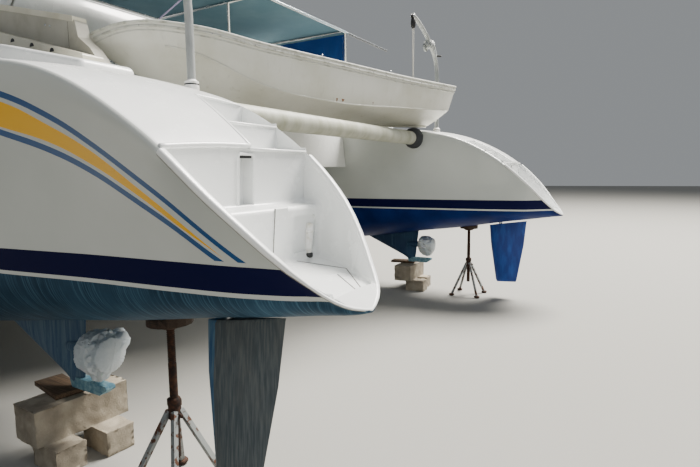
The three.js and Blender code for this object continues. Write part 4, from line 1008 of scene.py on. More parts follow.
def roof_ring(z, grow=0.0, aft=ROOF_AFT):
    """The coachroof's plan at a height: straight sides and a squarish rounded front."""
    if np.searchsorted(ROOF[:, 0], z) < 3:
        half, shoulder, front = [np.interp(z, ROOF[:, 0], ROOF[:, k]) for k in (1, 2, 3)]
    else:
        half, shoulder, front = between(ROOF, z)[1:]
    ring = [(aft, -half - grow)]
    for a in np.linspace(-pi / 2, pi / 2, ROOF_STEPS + 1):
        ring.append((shoulder + (front + grow - shoulder) * cos(a) ** (2 / SQUARENESS) if cos(a) > 1e-9 else shoulder,
                     (half + grow) * np.sign(sin(a)) * abs(sin(a)) ** (2 / SQUARENESS)))
    return ring + [(aft, half + grow)]


def roof_skin(name, levels, grow=0.0, aft=ROOF_AFT, materials=()):
    rows = [[at(x, y, z) for x, y in roof_ring(z, grow, aft)] for z in levels]
    return outward(ribbon(name, rows, materials=materials))


LEVELS = list(range(1000, 2200, 60)) + list(range(2200, 2440, 20)) + [2440]
roof = roof_skin("coachroof_moulding", LEVELS, materials=[deck_gelcoat])
hollow = roof_skin("hollow", [z - (ROOF_WALL if z > 2380 else 0) for z in LEVELS if z < 2440] + [2400],
                   -ROOF_WALL, ROOF_AFT - 5, [deck_gelcoat])
WINDOWS = [(4950, 5900), (6050, 6900)]
PANES = [(-1180, -620), (-540, 540), (620, 1180)]


def pane(name, a, b, low, high, start, stop, axis):
    return prism(name, rounded(corners(a, b, low, high), 45), start, stop, axis=axis, materials=[deck_gelcoat])


ROOF_HATCH_X, HATCH_HALF, RIM_HALF = 5300, 215, 245
cuts = [pane("cut", a, b, WINDOW_LOW, WINDOW_TOP, -2200, 2200, "y") for a, b in WINDOWS]
cuts += [pane("cut", a, b, WINDOW_LOW, WINDOW_TOP, 7000, 9000, "x") for a, b in PANES]
square = corners(ROOF_HATCH_X - HATCH_HALF, ROOF_HATCH_X + HATCH_HALF, -HATCH_HALF, HATCH_HALF)
cuts.append(prism("cut", square, 2300, 2500, axis="z", materials=[deck_gelcoat]))
raised = rounded(corners(ROOF_HATCH_X - RIM_HALF, ROOF_HATCH_X + RIM_HALF, -RIM_HALF, RIM_HALF), 30)
rim = prism("rim", raised, 2380, 2470, axis="z", materials=[deck_gelcoat])
roof = carved(carved(carved(roof, hollow), rim, operation="UNION"), *cuts)
fitted(smooth(roof, 32), "boat", "deck_gelcoat", "coachroof")

smoked_acrylic = worn("smoked_acrylic", "#11161a", 0.06, gloss=((90, 3), 0.04, 0.14), transmission_weight=0.35, ior=1.49)
BAND = [WINDOW_LOW - 58, WINDOW_LOW - 50, *range(WINDOW_LOW, WINDOW_TOP + 1, 76), WINDOW_TOP + 50, WINDOW_TOP + 58]
outer = [[at(x, y, z) for x, y in roof_ring(z, 7 if 0 < k < len(BAND) - 1 else 3, ROOF_AFT + 320)]
         for k, z in enumerate(BAND)]
inner = [[at(x, y, z) for x, y in roof_ring(z, 0.6, ROOF_AFT + 320)] for z in BAND]
band_rows = [[row[k] for row in outer] + [row[k] for row in inner[::-1]] for k in range(len(outer[0]))]
glazing = skin("window_band", band_rows, [smoked_acrylic], 35)
fitted(glazing, "boat", "smoked_acrylic", "saloon_glazing")

# Saloon bulkhead with the doorway and the door's track, and the sliding door: a white frame
# round a smoked pane, with a pull on both faces.
dressed("saloon_bulkhead_panel", "saloon_bulkhead", "deck_gelcoat", deck_gelcoat, 3)
DOOR_BACK, DOOR_FACE = ROOF_AFT - 28, ROOF_AFT
DOOR, DOOR_PANE = (-796, -120, 720, 2180), (-700, -220, 900, 2060)
PULL_Y, PULL_BEND = -165, ((0, 1350), (18, 1360), (22, 1430), (18, 1500), (0, 1510))


def bevelled(thing, width_mm, segments=3, angle=30):
    """Rounds every edge that is sharper than the angle."""
    edge = thing.modifiers.new("edge", "BEVEL")
    edge.width, edge.segments, edge.limit_method, edge.angle_limit = width_mm / 1000, segments, "ANGLE", radians(angle)
    return applied(thing)


stainless = worn("polished_stainless", "#c3c6c8", 0.2, 1.0, gloss=((30, 3), 0.14, 0.34))
door_frame = prism("saloon_door_leaf", rounded(corners(*DOOR), 30), DOOR_BACK, DOOR_FACE, axis="x",
                   materials=[deck_gelcoat])
door_frame = bevelled(carved(door_frame, pane("cut", *DOOR_PANE, DOOR_BACK - 20, DOOR_FACE + 20, "x")), 4)
glass_edge = [side + grow for side, grow in zip(DOOR_PANE, (-6, 6, -6, 6))]
glass = prism("glass", rounded(corners(*glass_edge), 50), DOOR_BACK + 10, DOOR_FACE - 10, axis="x",
              materials=[smoked_acrylic])
pull = tube("pull", [at(DOOR_BACK - out, PULL_Y, z) for out, z in PULL_BEND], 0.007, 12, [stainless], steps=5)
joined(smooth(door_frame, 35), glass, pull)
fitted(door_frame, "saloon_door", "deck_gelcoat", "saloon_door")

# Cockpit: moulded seats with locker lids, coamings, the raised mouldings on the side decks,
# and the wheel on its housing. The seat lids are marked by the dark line of their gap.
cream_gelcoat = worn("cream_gelcoat", "#d9d5c2", 0.34, tint=((320, 5), "#dcd8c6", "#c3bda6", 0.4, 0.85),
                     relief=[((160, 1), 1.4, 0.5)], coat_weight=0.15)
seats = softened("cockpit_seat_moulding", "cockpit_seats", 22, [deck_gelcoat, sealant], 4)
SEAT_Z = 980
for lid in ((2980, 3420, -820, -60), (2980, 3420, 60, 820), (3560, 4220, -1340, -920), (3560, 4220, 920, 1340)):
    gap = [at(x, y, SEAT_Z + 0.3) for x, y in rounded(corners(*lid), 40)]
    joined(seats, tube("lid_gap", gap, 0.0016, 6, [sealant], steps=1, closed=True))
fitted(seats, "boat", "deck_gelcoat", "cockpit_seats")

# Coamings: a tan gelcoated panel under a cream capping, on a cream plinth whose half-round
# drain holes are black patches of painted shade, with the plugs of its bolts and a butt seam;
# outboard of each a white deck moulding.
tan_gelcoat = worn("tan_gelcoat", "#b3b0a3", 0.45, tint=((240, 5), "#b6b3a7", "#9c9787", 0.4, 0.85))
COAMING_FORE, PANEL, PLINTH, BOX = 4544, (1620, 1728), (1728, 1900), (1985, 2380)
for side, sign, aft in (("port", 1, 2090), ("starboard", -1, 2260)):
    def moulding(name, outline, low, high, material, radius=20):
        return smooth(prism(name, rounded(outline, radius), *sorted((sign * low, sign * high)), materials=[material]), 40)

    panel = [(2840, 1000), (2840, 1330), (2960, 1470), (3112, 1580), (3140, 1700), (3190, 1752),
             (4400, 2053), (COAMING_FORE, 2116), (COAMING_FORE, 1000)]
    capping = [(3160, 1704), (3160, 1750), (4400, 2060), (COAMING_FORE, 2120), (COAMING_FORE, 2068), (4400, 2008)]
    plinth = [(2800, 1000), (2800, 1378), (3935, 1692), (COAMING_FORE, 1862), (COAMING_FORE, 1000)]
    coaming = moulding(f"{side}_coaming_moulding", panel, *PANEL, tan_gelcoat, 24)
    joined(coaming, moulding("capping", capping, PANEL[0] - 6, PANEL[1] + 10, cream_gelcoat, 12),
           moulding("plinth", plinth, *PLINTH, cream_gelcoat),
           rod("seam", [at(3240, sign * (PANEL[1] + 0.5), z) for z in (1510, 1716)], 0.0016, 6, sealant))
    for x, z in ((3614, 1826), (3560, 1736), (3493, 1718)):
        joined(coaming, rod("plug", [at(x, sign * (PANEL[1] + out), z) for out in (-4, 4)], 0.010, 16, stainless))
    # Half-round black patches on the plinth's face: painted shade in its drain holes.
    for x, z in ((3760, 1590), (3475, 1516), (3197, 1440)):
        half_round = [(x + 30 * cos(a), z + 30 * sin(a)) for a in np.linspace(0, pi, 12)]
        face = sorted((sign * (PLINTH[1] - 4), sign * (PLINTH[1] + 1.5)))
        joined(coaming, prism("drain", half_round, *face, materials=[black_rubber]))
    fitted(coaming, "boat", "deck_gelcoat", f"{side}_coaming")
    profile = [(aft, 950), (aft, 1172 + (aft - 2090) * 0.216), (2900, 1358), (3100, 1400), (4400, 1500),
               (COAMING_FORE, 1500), (COAMING_FORE, 950)]
    box = prism(f"{side}_deck_moulding", profile, *sorted(sign * y for y in BOX), materials=[deck_gelcoat])
    fitted(smooth(bevelled(box, 36, 5), 40), "boat", "deck_gelcoat", f"{side}_deck_box")

WHEEL_X, WHEEL_Y, WHEEL_Z, WHEEL_R = 4330, 820, 1560, 330
rim_points = [at(WHEEL_X, WHEEL_Y + WHEEL_R * cos(a), WHEEL_Z + WHEEL_R * sin(a)) for a in around(48)]
stitched_grip = worn("wheel_grip", "#23262a", 0.6, relief=[((3, 3), 0.3, 0.6)])
wheel = tube("steering_wheel", rim_points, 0.0135, 14, [stainless, stitched_grip], steps=2, closed=True)
for k in range(5):
    a = 0.4 * pi * k
    joined(wheel, tube("spoke", [at(WHEEL_X - 4, WHEEL_Y + r * cos(a), WHEEL_Z + r * sin(a))
                                 for r in (26, 180, WHEEL_R - 10)], [0.009, 0.007, 0.0065], 12, [stainless], steps=3))
hub = [(4300, 26), (4306, 38), (4348, 40), (4356, 22), (4370, 14), (4484, 14)]
joined(wheel, rod("hub", [at(x, WHEEL_Y, WHEEL_Z) for x, r in hub], [r / 1000 for x, r in hub], 24, stainless),
       tube("grip", rim_points[8:17], 0.0155, 14, [stitched_grip], steps=2))
fitted(wheel, "helm_wheel", "stainless", "helm_wheel")
dressed("helm_housing_moulding", "helm_housing", "deck_gelcoat", deck_gelcoat, 12, 4)

# Saloon furniture seen through the windows: a moulded seat base with stitched cushions of grey
# leather over foam, and a varnished table on a steel pedestal.
dressed("settee_base", "settee", "upholstery", cream_gelcoat, 10, 3)
leather, tree, shader, where = surface("seat_leather", "#6d6a64", 0.5)
grain = add(tree, "ShaderNodeTexVoronoi", {"Vector": where, "Scale": 420.0}).outputs["Distance"]
bump(tree, shader, grain, 0.3, 0.35)
wire(tree, ramp(tree, mottle(tree, where, 150, 3), "#716e68", "#5f5c57", 0.35, 0.75), shader, "Base Color")
CUSHION_SOFT, CUSHION_CROWN, CUSHION_LOW, CUSHION_TOP = 46, 14, 1083, 1180


def cushion(name, x0, x1, y0, y1, z0, z1, material):
    """A stuffed cushion: a rounded block, crowned in the middle and drawn in at its seams."""
    work = bmesh.new()
    bmesh.ops.create_cube(work, size=2.0)
    bmesh.ops.subdivide_edges(work, edges=work.edges, cuts=14, use_grid_fill=True)
    half = Vector(((x1 - x0) / 2, (y1 - y0) / 2, (z1 - z0) / 2))
    middle = Vector(((x0 + x1) / 2, (y0 + y1) / 2, (z0 + z1) / 2))
    thin = min(range(3), key=lambda k: half[k])
    for v in work.verts:
        u = v.co.copy()
        p = Vector([u[k] * half[k] for k in range(3)])
        core = Vector([max(-half[k] + CUSHION_SOFT, min(half[k] - CUSHION_SOFT, p[k])) for k in range(3)])
        away = p - core
        p = core + (away.normalized() * CUSHION_SOFT if away.length > 1e-6 else away)
        crown = 1.0
        for k in range(3):
            if k != thin:
                crown *= max(0.0, 1 - (p[k] / half[k]) ** 2) ** 0.5
        p[thin] += np.sign(p[thin]) * crown * CUSHION_CROWN if abs(u[thin]) > 0.5 else 0
        v.co = at(*(p + middle)) + Vector((0, 0, 0.003 * noise.noise((p + middle) / 90)))
    data = bpy.data.meshes.new(name)
    work.to_mesh(data)
    work.free()
    data.materials.append(material)
    return smooth(outward(linked(name, data)), 60)


for name, *sides in (("port", 6310, 7330, 815, 1240), ("starboard", 6310, 7330, -1240, -815),
                     ("fore_port", 7360, 7880, 10, 1240), ("fore_starboard", 7360, 7880, -1240, -10)):
    pad = fitted(cushion(f"settee_cushion_{name}", *sides, CUSHION_LOW, CUSHION_TOP, leather), "boat", "upholstery")
varnish = grained("varnished_teak", "#6b3f1f", "#93602f", 0.0, 9, 0.25)
dressed("saloon_table_top", "saloon_table", "timber", varnish, 6, 3)

# Awning: one sheet of acrylic-coated canvas laced over the tubes, sagging a little between
# them, hemmed all round; a blue curtain of the same cloth hangs along its starboard edge.
THREAD_MM, LIGHT_THROUGH = 1.2, 0.3


def woven(name, colour, faded):
    """Coated canvas: a plain weave of about 1 mm threads, faded in blotches, letting a little light through."""
    made, tree, shader, where = surface(name, colour, 0.85)
    wire(tree, ramp(tree, mottle(tree, where, 500, 4), colour, faded, 0.4, 0.85), shader, "Base Color")
    weave = reckon(tree, "MULTIPLY", *[add(tree, "ShaderNodeTexWave", {"Vector": where, "Scale": 1000 / THREAD_MM / 20},
                                           bands_direction=axis).outputs["Fac"] for axis in ("X", "Y")])
    bump(tree, shader, weave, 0.2, 0.3)
    bump(tree, shader, mottle(tree, where, 160, 3), 3.0, 0.35)
    lit = add(tree, "ShaderNodeBsdfTranslucent", {"Color": linear(faded)}).outputs[0]
    both = add(tree, "ShaderNodeMixShader", {0: LIGHT_THROUGH, 1: shader.outputs[0], 2: lit}).outputs[0]
    tree.links.new(both, next(n for n in tree.nodes if n.type == "OUTPUT_MATERIAL").inputs["Surface"])
    return made


def on_cloth(lie, s, t, off=(0, 0, 0)):
    """A point of a sheet, and a little off it: corner plus two edge vectors in mm, moved by a function of its shares."""
    corner, u_way, v_way, counts, shape = lie
    moved = shape(s / counts[0], t / counts[1])
    return at(*[corner[k] + u_way[k] * s / counts[0] + v_way[k] * t / counts[1] + moved[k] + off[k] for k in range(3)])


def cloth(name, lie, material, thick_mm):
    counts = lie[3]
    rows = [[on_cloth(lie, i, j) for i in range(counts[0] + 1)] for j in range(counts[1] + 1)]
    return thickened(ribbon(name, rows, closed=False, materials=[material]), thick_mm, 60)


def ruled(name, lines, sizes, rule, material):
    """What a node tree lays along guide lines in metres; its sizes, in metres, are the tree's named inputs."""
    points = [tuple(p) for line in lines for p in line]
    starts = np.cumsum([0] + [len(line) for line in lines])
    mesh = bpy.data.meshes.new(name)
    mesh.from_pydata(points, [(k, k + 1) for a, b in zip(starts, starts[1:]) for k in range(a, b - 1)], [])
    thing = linked(name, mesh)
    tree = bpy.data.node_groups.new(name + "_rule", "GeometryNodeTree")
    tree.interface.new_socket("Guide", in_out="INPUT", socket_type="NodeSocketGeometry")
    inputs = {title: tree.interface.new_socket(title, in_out="INPUT", socket_type="NodeSocketFloat") for title in sizes}
    tree.interface.new_socket("Piece", in_out="OUTPUT", socket_type="NodeSocketGeometry")
    given = add(tree, "NodeGroupInput").outputs
    real = add(tree, "GeometryNodeRealizeInstances", {"Geometry": rule(tree, given)})
    finish = add(tree, "GeometryNodeSetMaterial", {"Geometry": real.outputs[0], "Material": material})
    add(tree, "NodeGroupOutput", {"Piece": finish.outputs[0]})
    step = thing.modifiers.new("rule", "NODES")
    step.node_group = tree
    for title, size in sizes.items():
        step[inputs[title].identifier] = size
    applied(thing)
    thing.data.materials.clear()
    thing.data.materials.append(material)
    thing.data.polygons.foreach_set("material_index", [0] * len(thing.data.polygons))
    return smooth(thing, 50)


def stitched(tree, given, across=False):
    """Short round-ended lengths at a pitch along the guide, or with across, heads whose axis lies level across it."""
    line = add(tree, "GeometryNodeMeshToCurve", {"Mesh": given["Guide"]}).outputs[0]
    spaced = add(tree, "GeometryNodeResampleCurve", {"Curve": line, "Length": given["Pitch"]}, mode="LENGTH").outputs[0]
    way = add(tree, "GeometryNodeInputTangent").outputs[0]
    if across:
        way = add(tree, "ShaderNodeVectorMath", {0: way, 1: (0, 0, 1)}, operation="CROSS_PRODUCT").outputs[0]
    turn = add(tree, "FunctionNodeAlignRotationToVector", {"Vector": way}, axis="Z").outputs[0]
    item = add(tree, "GeometryNodeMeshCylinder", {"Vertices": 12 if across else 5, "Radius": given["Radius"],
                                                  "Depth": given["Length"]}).outputs[0]
    return add(tree, "GeometryNodeInstanceOnPoints", {"Points": spaced, "Instance": item, "Rotation": turn}).outputs[0]


def screwed(tree, given):
    return stitched(tree, given, across=True)


STITCHES = {"Pitch": 0.010, "Length": 0.006, "Radius": 0.0009}
sewing_thread = worn("sewing_thread", "#b9bfc0", 0.7, relief=[((1,), 0.1, 0.4)])
AWNING_AFT, AWNING_FORE, AWNING_Y, AWNING_Z, HEM = 2790, 4500, 2000, 2400, 26
AWNING_LONG, AWNING_BROAD = AWNING_FORE - AWNING_AFT, 2 * AWNING_Y
awning_canvas = woven("awning_canvas", "#53727f", "#6d8791")
curtain_canvas = woven("curtain_canvas", "#0a3f7e", "#1b5590")
trim_webbing = worn("awning_webbing", "#c9cbc8", 0.8, relief=[((2, 2, (1, 6, 1)), 0.3, 0.4)])


def awning_shape(s, t):
    between_tubes = abs(sin(pi * s)) ** 0.8
    along = sin(pi * t) ** 0.5 if 0 < t < 1 else 0
    sag = -4 * between_tubes * along + 3 * noise.noise(Vector((s * 5, t * 9, 1.3)))
    edge = -38 * max(0.0, 1 - s * AWNING_LONG / HEM) - 34 * sum(max(0.0, 1 - share * AWNING_BROAD / HEM)
                                                                for share in (t, 1 - t))
    return (0, 0, sag + max(-46, edge) + 8)


AWNING_LIE = ((AWNING_AFT - 24, -AWNING_Y, AWNING_Z), (AWNING_LONG + 24, 0, 0), (0, AWNING_BROAD, 0),
              (68, 150), awning_shape)
awning = fitted(cloth("awning_cloth", AWNING_LIE, awning_canvas, 1.2), "boat", "canvas", "awning")
seams = [[on_cloth(AWNING_LIE, s, t, (0, 0, 1)) for t in range(2, 149)] for s in (3, 66)]
seams += [[on_cloth(AWNING_LIE, s, t, (0, 0, 1)) for s in range(2, 67)] for t in (38, 75, 112)]
awning_seams = fitted(ruled("awning_seams", seams, STITCHES, stitched, sewing_thread), "boat", "canvas")
dressed("awning_tubes", "awning_frame", "stainless", stainless, 0, smooth_to=55)


def curtain_shape(s, t):
    wave = 16 * sin(2 * pi * (4.2 * s + 0.35 * sin(5 * s))) * (1 - t) ** 0.7
    return (-6 * sin(9 * s) * (1 - t), wave + 6 * noise.noise(Vector((s * 6, t * 3, 8.0))), 12 * sin(7 * s) * (1 - t))


CURTAIN_LIE = ((AWNING_AFT + 40, -AWNING_Y - 2, 1950), (1120, 0, 0), (0, 0, AWNING_Z - 1958), (120, 26), curtain_shape)
curtain = fitted(cloth("side_curtain_cloth", CURTAIN_LIE, curtain_canvas, 0.9), "boat", "canvas", "side_curtain")
hems = [[on_cloth(CURTAIN_LIE, s, 1, (0, off, 0)) for s in range(1, 120)] for off in (-0.6, 0.6)]
hems += [[on_cloth(CURTAIN_LIE, s, t, (0, off, 0)) for t in range(1, 25)] for s in (3, 117) for off in (-0.6, 0.6)]
curtain_hems = fitted(ruled("curtain_hems", hems, STITCHES, stitched, sewing_thread), "boat", "canvas")

# Rig: an anodised alloy mast of oval section with a sail track up its back, spreaders, a boom
# with the mainsail stowed in its cover on top, and the furled headsail with its sacrificial strip.
anodised = worn("anodised_alloy", "#a9acae", 0.38, 0.9, tint=((60, 4, (1, 1, 8)), "#aeb1b3", "#94989b", 0.4, 0.8),
                relief=[((2, 2, (1, 1, 30)), 0.1, 0.3)])
MAST_X, MAST_FOOT, MAST_HEAD = 6350, 2440.3, 15600
SPREADER_Z, STAY_Z = 8900, 14300


def mast_ring(z, taper):
    ring = []
    for a in around(48):
        x, y = 105 * taper * cos(a), 68 * taper * sin(a)
        if cos(a) < -0.96:
            x = -105 * taper * 0.93 - (10 if abs(y) < 9 else 0)
        ring.append(at(MAST_X + x, y, z))
    return ring


mast = skin("mast_tube", [mast_ring(z, t) for z, t in ((MAST_FOOT, 0.99), (2444, 1), (MAST_HEAD - 3000, 1),
                                                       (MAST_HEAD - 1500, 0.88), (MAST_HEAD - 6, 0.7), (MAST_HEAD, 0.68))],
            [anodised, black_rubber, stainless], 30)
BOOM_Z, BOOM_AFT, BOOM_FORE, PIVOT_X = 3450, 1900, 6080, 6200
for low in (BOOM_Z + 16.3, BOOM_Z - 28.3):
    joined(mast, prism("lug", rounded(corners(PIVOT_X - 24, MAST_X, -24, 24), 22), low, low + 12,
                       axis="z", materials=[anodised]))
for side in (-1, 1):
    joined(mast, tube("spreader", [at(MAST_X - 20, side * 50, SPREADER_Z + 4),
                                   at(MAST_X - 100, side * 435, SPREADER_Z + 32),
                                   at(MAST_X - 180, side * 820, SPREADER_Z + 60)], [0.026, 0.024, 0.018],
                      16, [anodised], steps=2, squash=0.5),
           rod("spreader_boot", [at(MAST_X - 176, side * 802, SPREADER_Z + 58),
                                 at(MAST_X - 182, side * 836, SPREADER_Z + 61)], 0.022, 14, black_rubber),
           rod("light", [at(MAST_X - 60, side * 12, MAST_HEAD - 2), at(MAST_X - 60, side * 12, MAST_HEAD + 70)],
               0.012 if side < 0 else 0.02, 14, black_rubber))
for z in (3900, 2620):
    joined(mast, rod("winch", [at(MAST_X + 8, 68, z), at(MAST_X + 8, 114, z)], [0.05, 0.034], 20, stainless),
           rod("winch_top", [at(MAST_X + 8, 114, z), at(MAST_X + 8, 128, z)], 0.044, 20, stainless))
fitted(mast, "boat", "alloy", "mast")


def boom_ring(x, share=1.0):
    return [at(x, 62 * share * cos(a), BOOM_Z + 80 * share * sin(a)) for a in around(32)]


boom = skin("boom_tube", [boom_ring(x, s) for x, s in ((BOOM_AFT, 0.9), (BOOM_AFT + 12, 1), (BOOM_FORE - 14, 1),
                                                       (BOOM_FORE, 0.92))], [anodised, black_rubber, stainless], 30)
joined(boom, prism("tongue", corners(BOOM_FORE - 40, PIVOT_X, -18, 18), BOOM_Z - 16, BOOM_Z + 16,
                   axis="z", materials=[anodised]),
       rod("eye", [at(PIVOT_X, 0, BOOM_Z - 15.7), at(PIVOT_X, 0, BOOM_Z + 15.7)], 0.024, 24, anodised),
       rod("end_cap", [at(BOOM_AFT - 8, 0, BOOM_Z), at(BOOM_AFT + 20, 0, BOOM_Z)], 0.05, 20, black_rubber))
for x in (2500, 4200):
    bail = [at(x + dx, 0, BOOM_Z - drop) for dx, drop in ((-40, 78), (-30, 112), (0, 124), (30, 112), (40, 78))]
    joined(boom, tube("bail", bail, 0.006, 10, [stainless], steps=4))
fitted(boom, "boom", "alloy", "boom")

cover_canvas = woven("sail_cover_canvas", "#0b3f78", "#235b8e")
SAIL_ROWS = np.array([(2020, 58, 88), (2300, 74, 128), (2800, 110, 200), (3700, 121, 250), (4800, 130, 300),
                      (5500, 125, 370), (5900, 120, 420)], float)
rows = []
for x in np.linspace(2020, 5900, 110):
    half, height = between(SAIL_ROWS, x)[1:]
    tight = 1 - 0.09 * max(0.0, cos(2 * pi * (x - 2020) / 430)) ** 6
    row = []
    for a in around(40):
        fold = 1 + 0.08 * noise.noise(Vector((x / 160, 3 * a, 2)))
        lump = 9 * noise.noise(Vector((x / 120, 2.2 * cos(a), 2.2 * sin(a)))) * max(0, sin(a))
        row.append(at(x + 6 * sin(3 * a), half * tight * cos(a) * fold,
                      BOOM_Z + 81 + height / 2 * (1 + tight * sin(a)) + lump))
    rows.append(row)
sail = skin("mainsail_in_cover", rows, [cover_canvas, trim_webbing], 60)
for x in np.arange(2235, 5900, 430):
    half, height = between(SAIL_ROWS, x)[1:]
    joined(sail, tube("sail_tie", [at(x, (half * 0.97 + 3) * cos(a),
                                      BOOM_Z + 81 + height / 2 + (height / 2 * 0.97 + 3) * sin(a)) for a in around(20)],
                      0.012, 6, [trim_webbing], steps=2, closed=True, squash=0.2))
fitted(sail, "boom", "canvas", "stowed_mainsail")

BEAM_X, BEAM_Z = 11350, 1265
foot, head = np.array([BEAM_X + 20, 0, BEAM_Z + 40]), np.array([MAST_X, 0, STAY_Z])


def up_stay(t, away=(0, 0, 0)):
    return at(*(foot + (head - foot) * t + np.array(away)))


rows = []
LEAN = atan2(BEAM_X + 20 - MAST_X, STAY_Z - BEAM_Z)
for k, t in enumerate(np.linspace(0.04, 0.93, 150)):
    width = float(np.interp(t, [0.04, 0.06, 0.12, 0.5, 0.92, 0.93], [30, 52, 58, 50, 30, 16]))
    row = []
    for a in around(28):
        r = width * (1 - 0.16 * ((a / (2 * pi) + k * 0.045) % 1.0))
        row.append(up_stay(t, (r * cos(a) * cos(LEAN), r * sin(a), r * cos(a) * sin(LEAN))))
    rows.append(row)
sail_strip = woven("sacrificial_strip", "#0d4684", "#2f6699")
headsail = skin("rolled_headsail", rows, [sail_strip, stainless, black_rubber], 45)
joined(headsail, rod("stay", [up_stay(0.002), up_stay(0.04)], 0.008, 12, stainless),
       rod("stay", [up_stay(0.93), up_stay(0.998)], 0.008, 12, stainless),
       rod("drum", [up_stay(t) for t in (0.0115, 0.012, 0.0135, 0.0138, 0.024, 0.0243, 0.026, 0.0262)],
           [0.02, 0.08, 0.08, 0.045, 0.045, 0.08, 0.08, 0.02], 32, black_rubber),
       rod("swivel", [up_stay(0.935), up_stay(0.945)], 0.034, 20, stainless))
fitted(headsail, "boat", "canvas", "furled_headsail")

# Shrouds: 10 mm wire with a bottlescrew at the foot. Guard rails of polished tube and wire, and
# the forward crossbeam of anodised tube with its striker.
CHAIN_X, CHAIN_Y = 5500, 3290
for side, sign in SIDES:
    CHAIN_FOOT, TIP = (CHAIN_X, sign * CHAIN_Y, 1212), (MAST_X - 150, sign * 830, SPREADER_Z + 62)

    def up_shroud(t):
        return at(*[a + (b - a) * t for a, b in zip(CHAIN_FOOT, TIP)])

    shroud = rod(f"{side}_shroud_wire", [up_shroud(0.0), up_shroud(1.0)], 0.005, 10, stainless)
    joined(shroud, rod("upper", [at(*TIP), at(MAST_X, sign * 60, STAY_Z - 100)], 0.005, 10, stainless),
           rod("bottlescrew", [up_shroud(t) for t in (0.004, 0.006, 0.012, 0.0125, 0.04, 0.0405, 0.05, 0.052)],
               [0.008, 0.013, 0.013, 0.016, 0.016, 0.011, 0.009, 0.006], 16, stainless),
           rod("toggle", [at(CHAIN_X + dx, sign * CHAIN_Y, 1204) for dx in (-16, 16)], 0.009, 12, stainless),
           prism("chainplate", rounded(corners(CHAIN_X - 22, CHAIN_X + 22, 1120, 1226), 12), sign * CHAIN_Y - 4,
                 sign * CHAIN_Y + 4, materials=[stainless]))
    fitted(shroud, "boat", "stainless", f"{side}_shroud")
    dressed(f"{side}_rail_tubes", f"{side}_guard_rail", "stainless", stainless, 0, smooth_to=62)
dressed("forward_beam_tube", "forward_beam", "alloy", anodised, 0, smooth_to=48)

# Hatches: a smoked acrylic lid in an alloy frame over each foredeck cabin and the saloon, and
# a moulded lid over each engine.
LID_THICK = 34


def hatch_lid(name, x, y, length, width, z, glazed):
    plan = (x, y, length, width)
    finish = anodised if glazed else deck_gelcoat
    lid = prism(name, lid_outline(*plan), z, z + LID_THICK, axis="z", materials=[finish, smoked_acrylic, black_rubber])
    if glazed:
        carved(lid, prism("cut", lid_outline(*plan, 34, 30), z - 10, z + 60, axis="z", materials=[anodised]))
    smooth(bevelled(lid, 5 if glazed else 11, 3, 40), 35)
    if glazed:
        joined(lid, prism("pane", lid_outline(*plan, 32, 30), z + 18, z + 30, axis="z", materials=[smoked_acrylic]))
    for reach in (-0.28, 0.28):
        latch = [at(x - length / 2 + 60, y + reach * width, z + LID_THICK + d) for d in (-2, 4)]
        joined(lid, rod("latch", latch, 0.016, 16, black_rubber))
    return lid


for name, x, y, length, width, z in LIDS:
    for side, sign in SIDES:
        lid = hatch_lid(f"{side}_{name}_lid", x, sign * y, length, width, z, name == "foredeck_hatch")
        fitted(lid, f"{side}_{name}", "smoked_acrylic" if name == "foredeck_hatch" else "deck_gelcoat", f"{side}_{name}")
fitted(hatch_lid("roof_hatch_lid", ROOF_HATCH_X, 0, 520, 520, 2470.3, True), "roof_hatch", "smoked_acrylic", "roof_hatch")

# Trampoline: a net of 3 mm cord in 45 mm squares laced inside a webbing border.
netting = worn("net_cord", "#d4d6d2", 0.85, relief=[((3,), 0.4, 0.5)])
NET_AFT, NET_FORE, NET_Z, MESH = 8952, 11272, 1185, 45


def net_reach(x):
    """Half the net's breadth, from the boat's middle line to just inside a hull's deck edge."""
    return HULL_Y - between(STATIONS, x)[4] * 0.985


lines = [[at(x, side * net_reach(x), NET_Z) for side in (-1, 1)] for x in np.arange(NET_AFT + 30, NET_FORE - 20, MESH)]
for y in np.arange(-2160, 2161, MESH):
    inside = [x for x in np.arange(NET_AFT + 6, NET_FORE, 20) if abs(y) < net_reach(x)]
    if len(inside) > 3:
        lines.append([at(inside[0], y, NET_Z), at(inside[-1], y, NET_Z)])


def corded(tree, given):
    """A round cord along each guide line."""
    line = add(tree, "GeometryNodeMeshToCurve", {"Mesh": given["Guide"]}).outputs[0]
    ring = add(tree, "GeometryNodeCurvePrimitiveCircle", {"Resolution": 5, "Radius": given["Radius"]}).outputs[0]
    return add(tree, "GeometryNodeCurveToMesh", {"Curve": line, "Profile Curve": ring, "Fill Caps": True}).outputs[0]


net = ruled("trampoline_net", lines, {"Radius": 0.0016}, corded, netting)
edge_points = [at(x, side * (net_reach(x) - 12), NET_Z)
               for side, first, last in ((-1, NET_AFT + 12, NET_FORE - 12), (1, NET_FORE - 12, NET_AFT + 12))
               for x in np.linspace(first, last, 24)]
joined(net, tube("border", edge_points, 0.016, 6, [trim_webbing], steps=1, closed=True, squash=0.25))
fitted(net, "boat", "netting", "trampoline")

# Aft crossbeam: a gelcoated tube between the hulls, dull, with blotches of grime, and darkened to
# a green-grey that is painted shade from the tender above it; a grey canvas pouch of loose line
# hangs near its starboard end.
BEAM_AFT_X, BEAM_AFT_Z = 1740, 900
# Its dark green-grey base is painted shade cast by the tender above; the blotches are grime.
grime_and_shade_gelcoat = worn("grime_and_shade_gelcoat", "#aeaf9f", 0.5, tint=((240, 5, (1, 0.4, 1)), "#b6b7a9", "#94957f", 0.35, 0.8),
                     relief=[((6, 3), 0.2, 0.4)])
dressed("aft_crossbeam", "aft_beam", "gelcoat", grime_and_shade_gelcoat, 0, smooth_to=48)

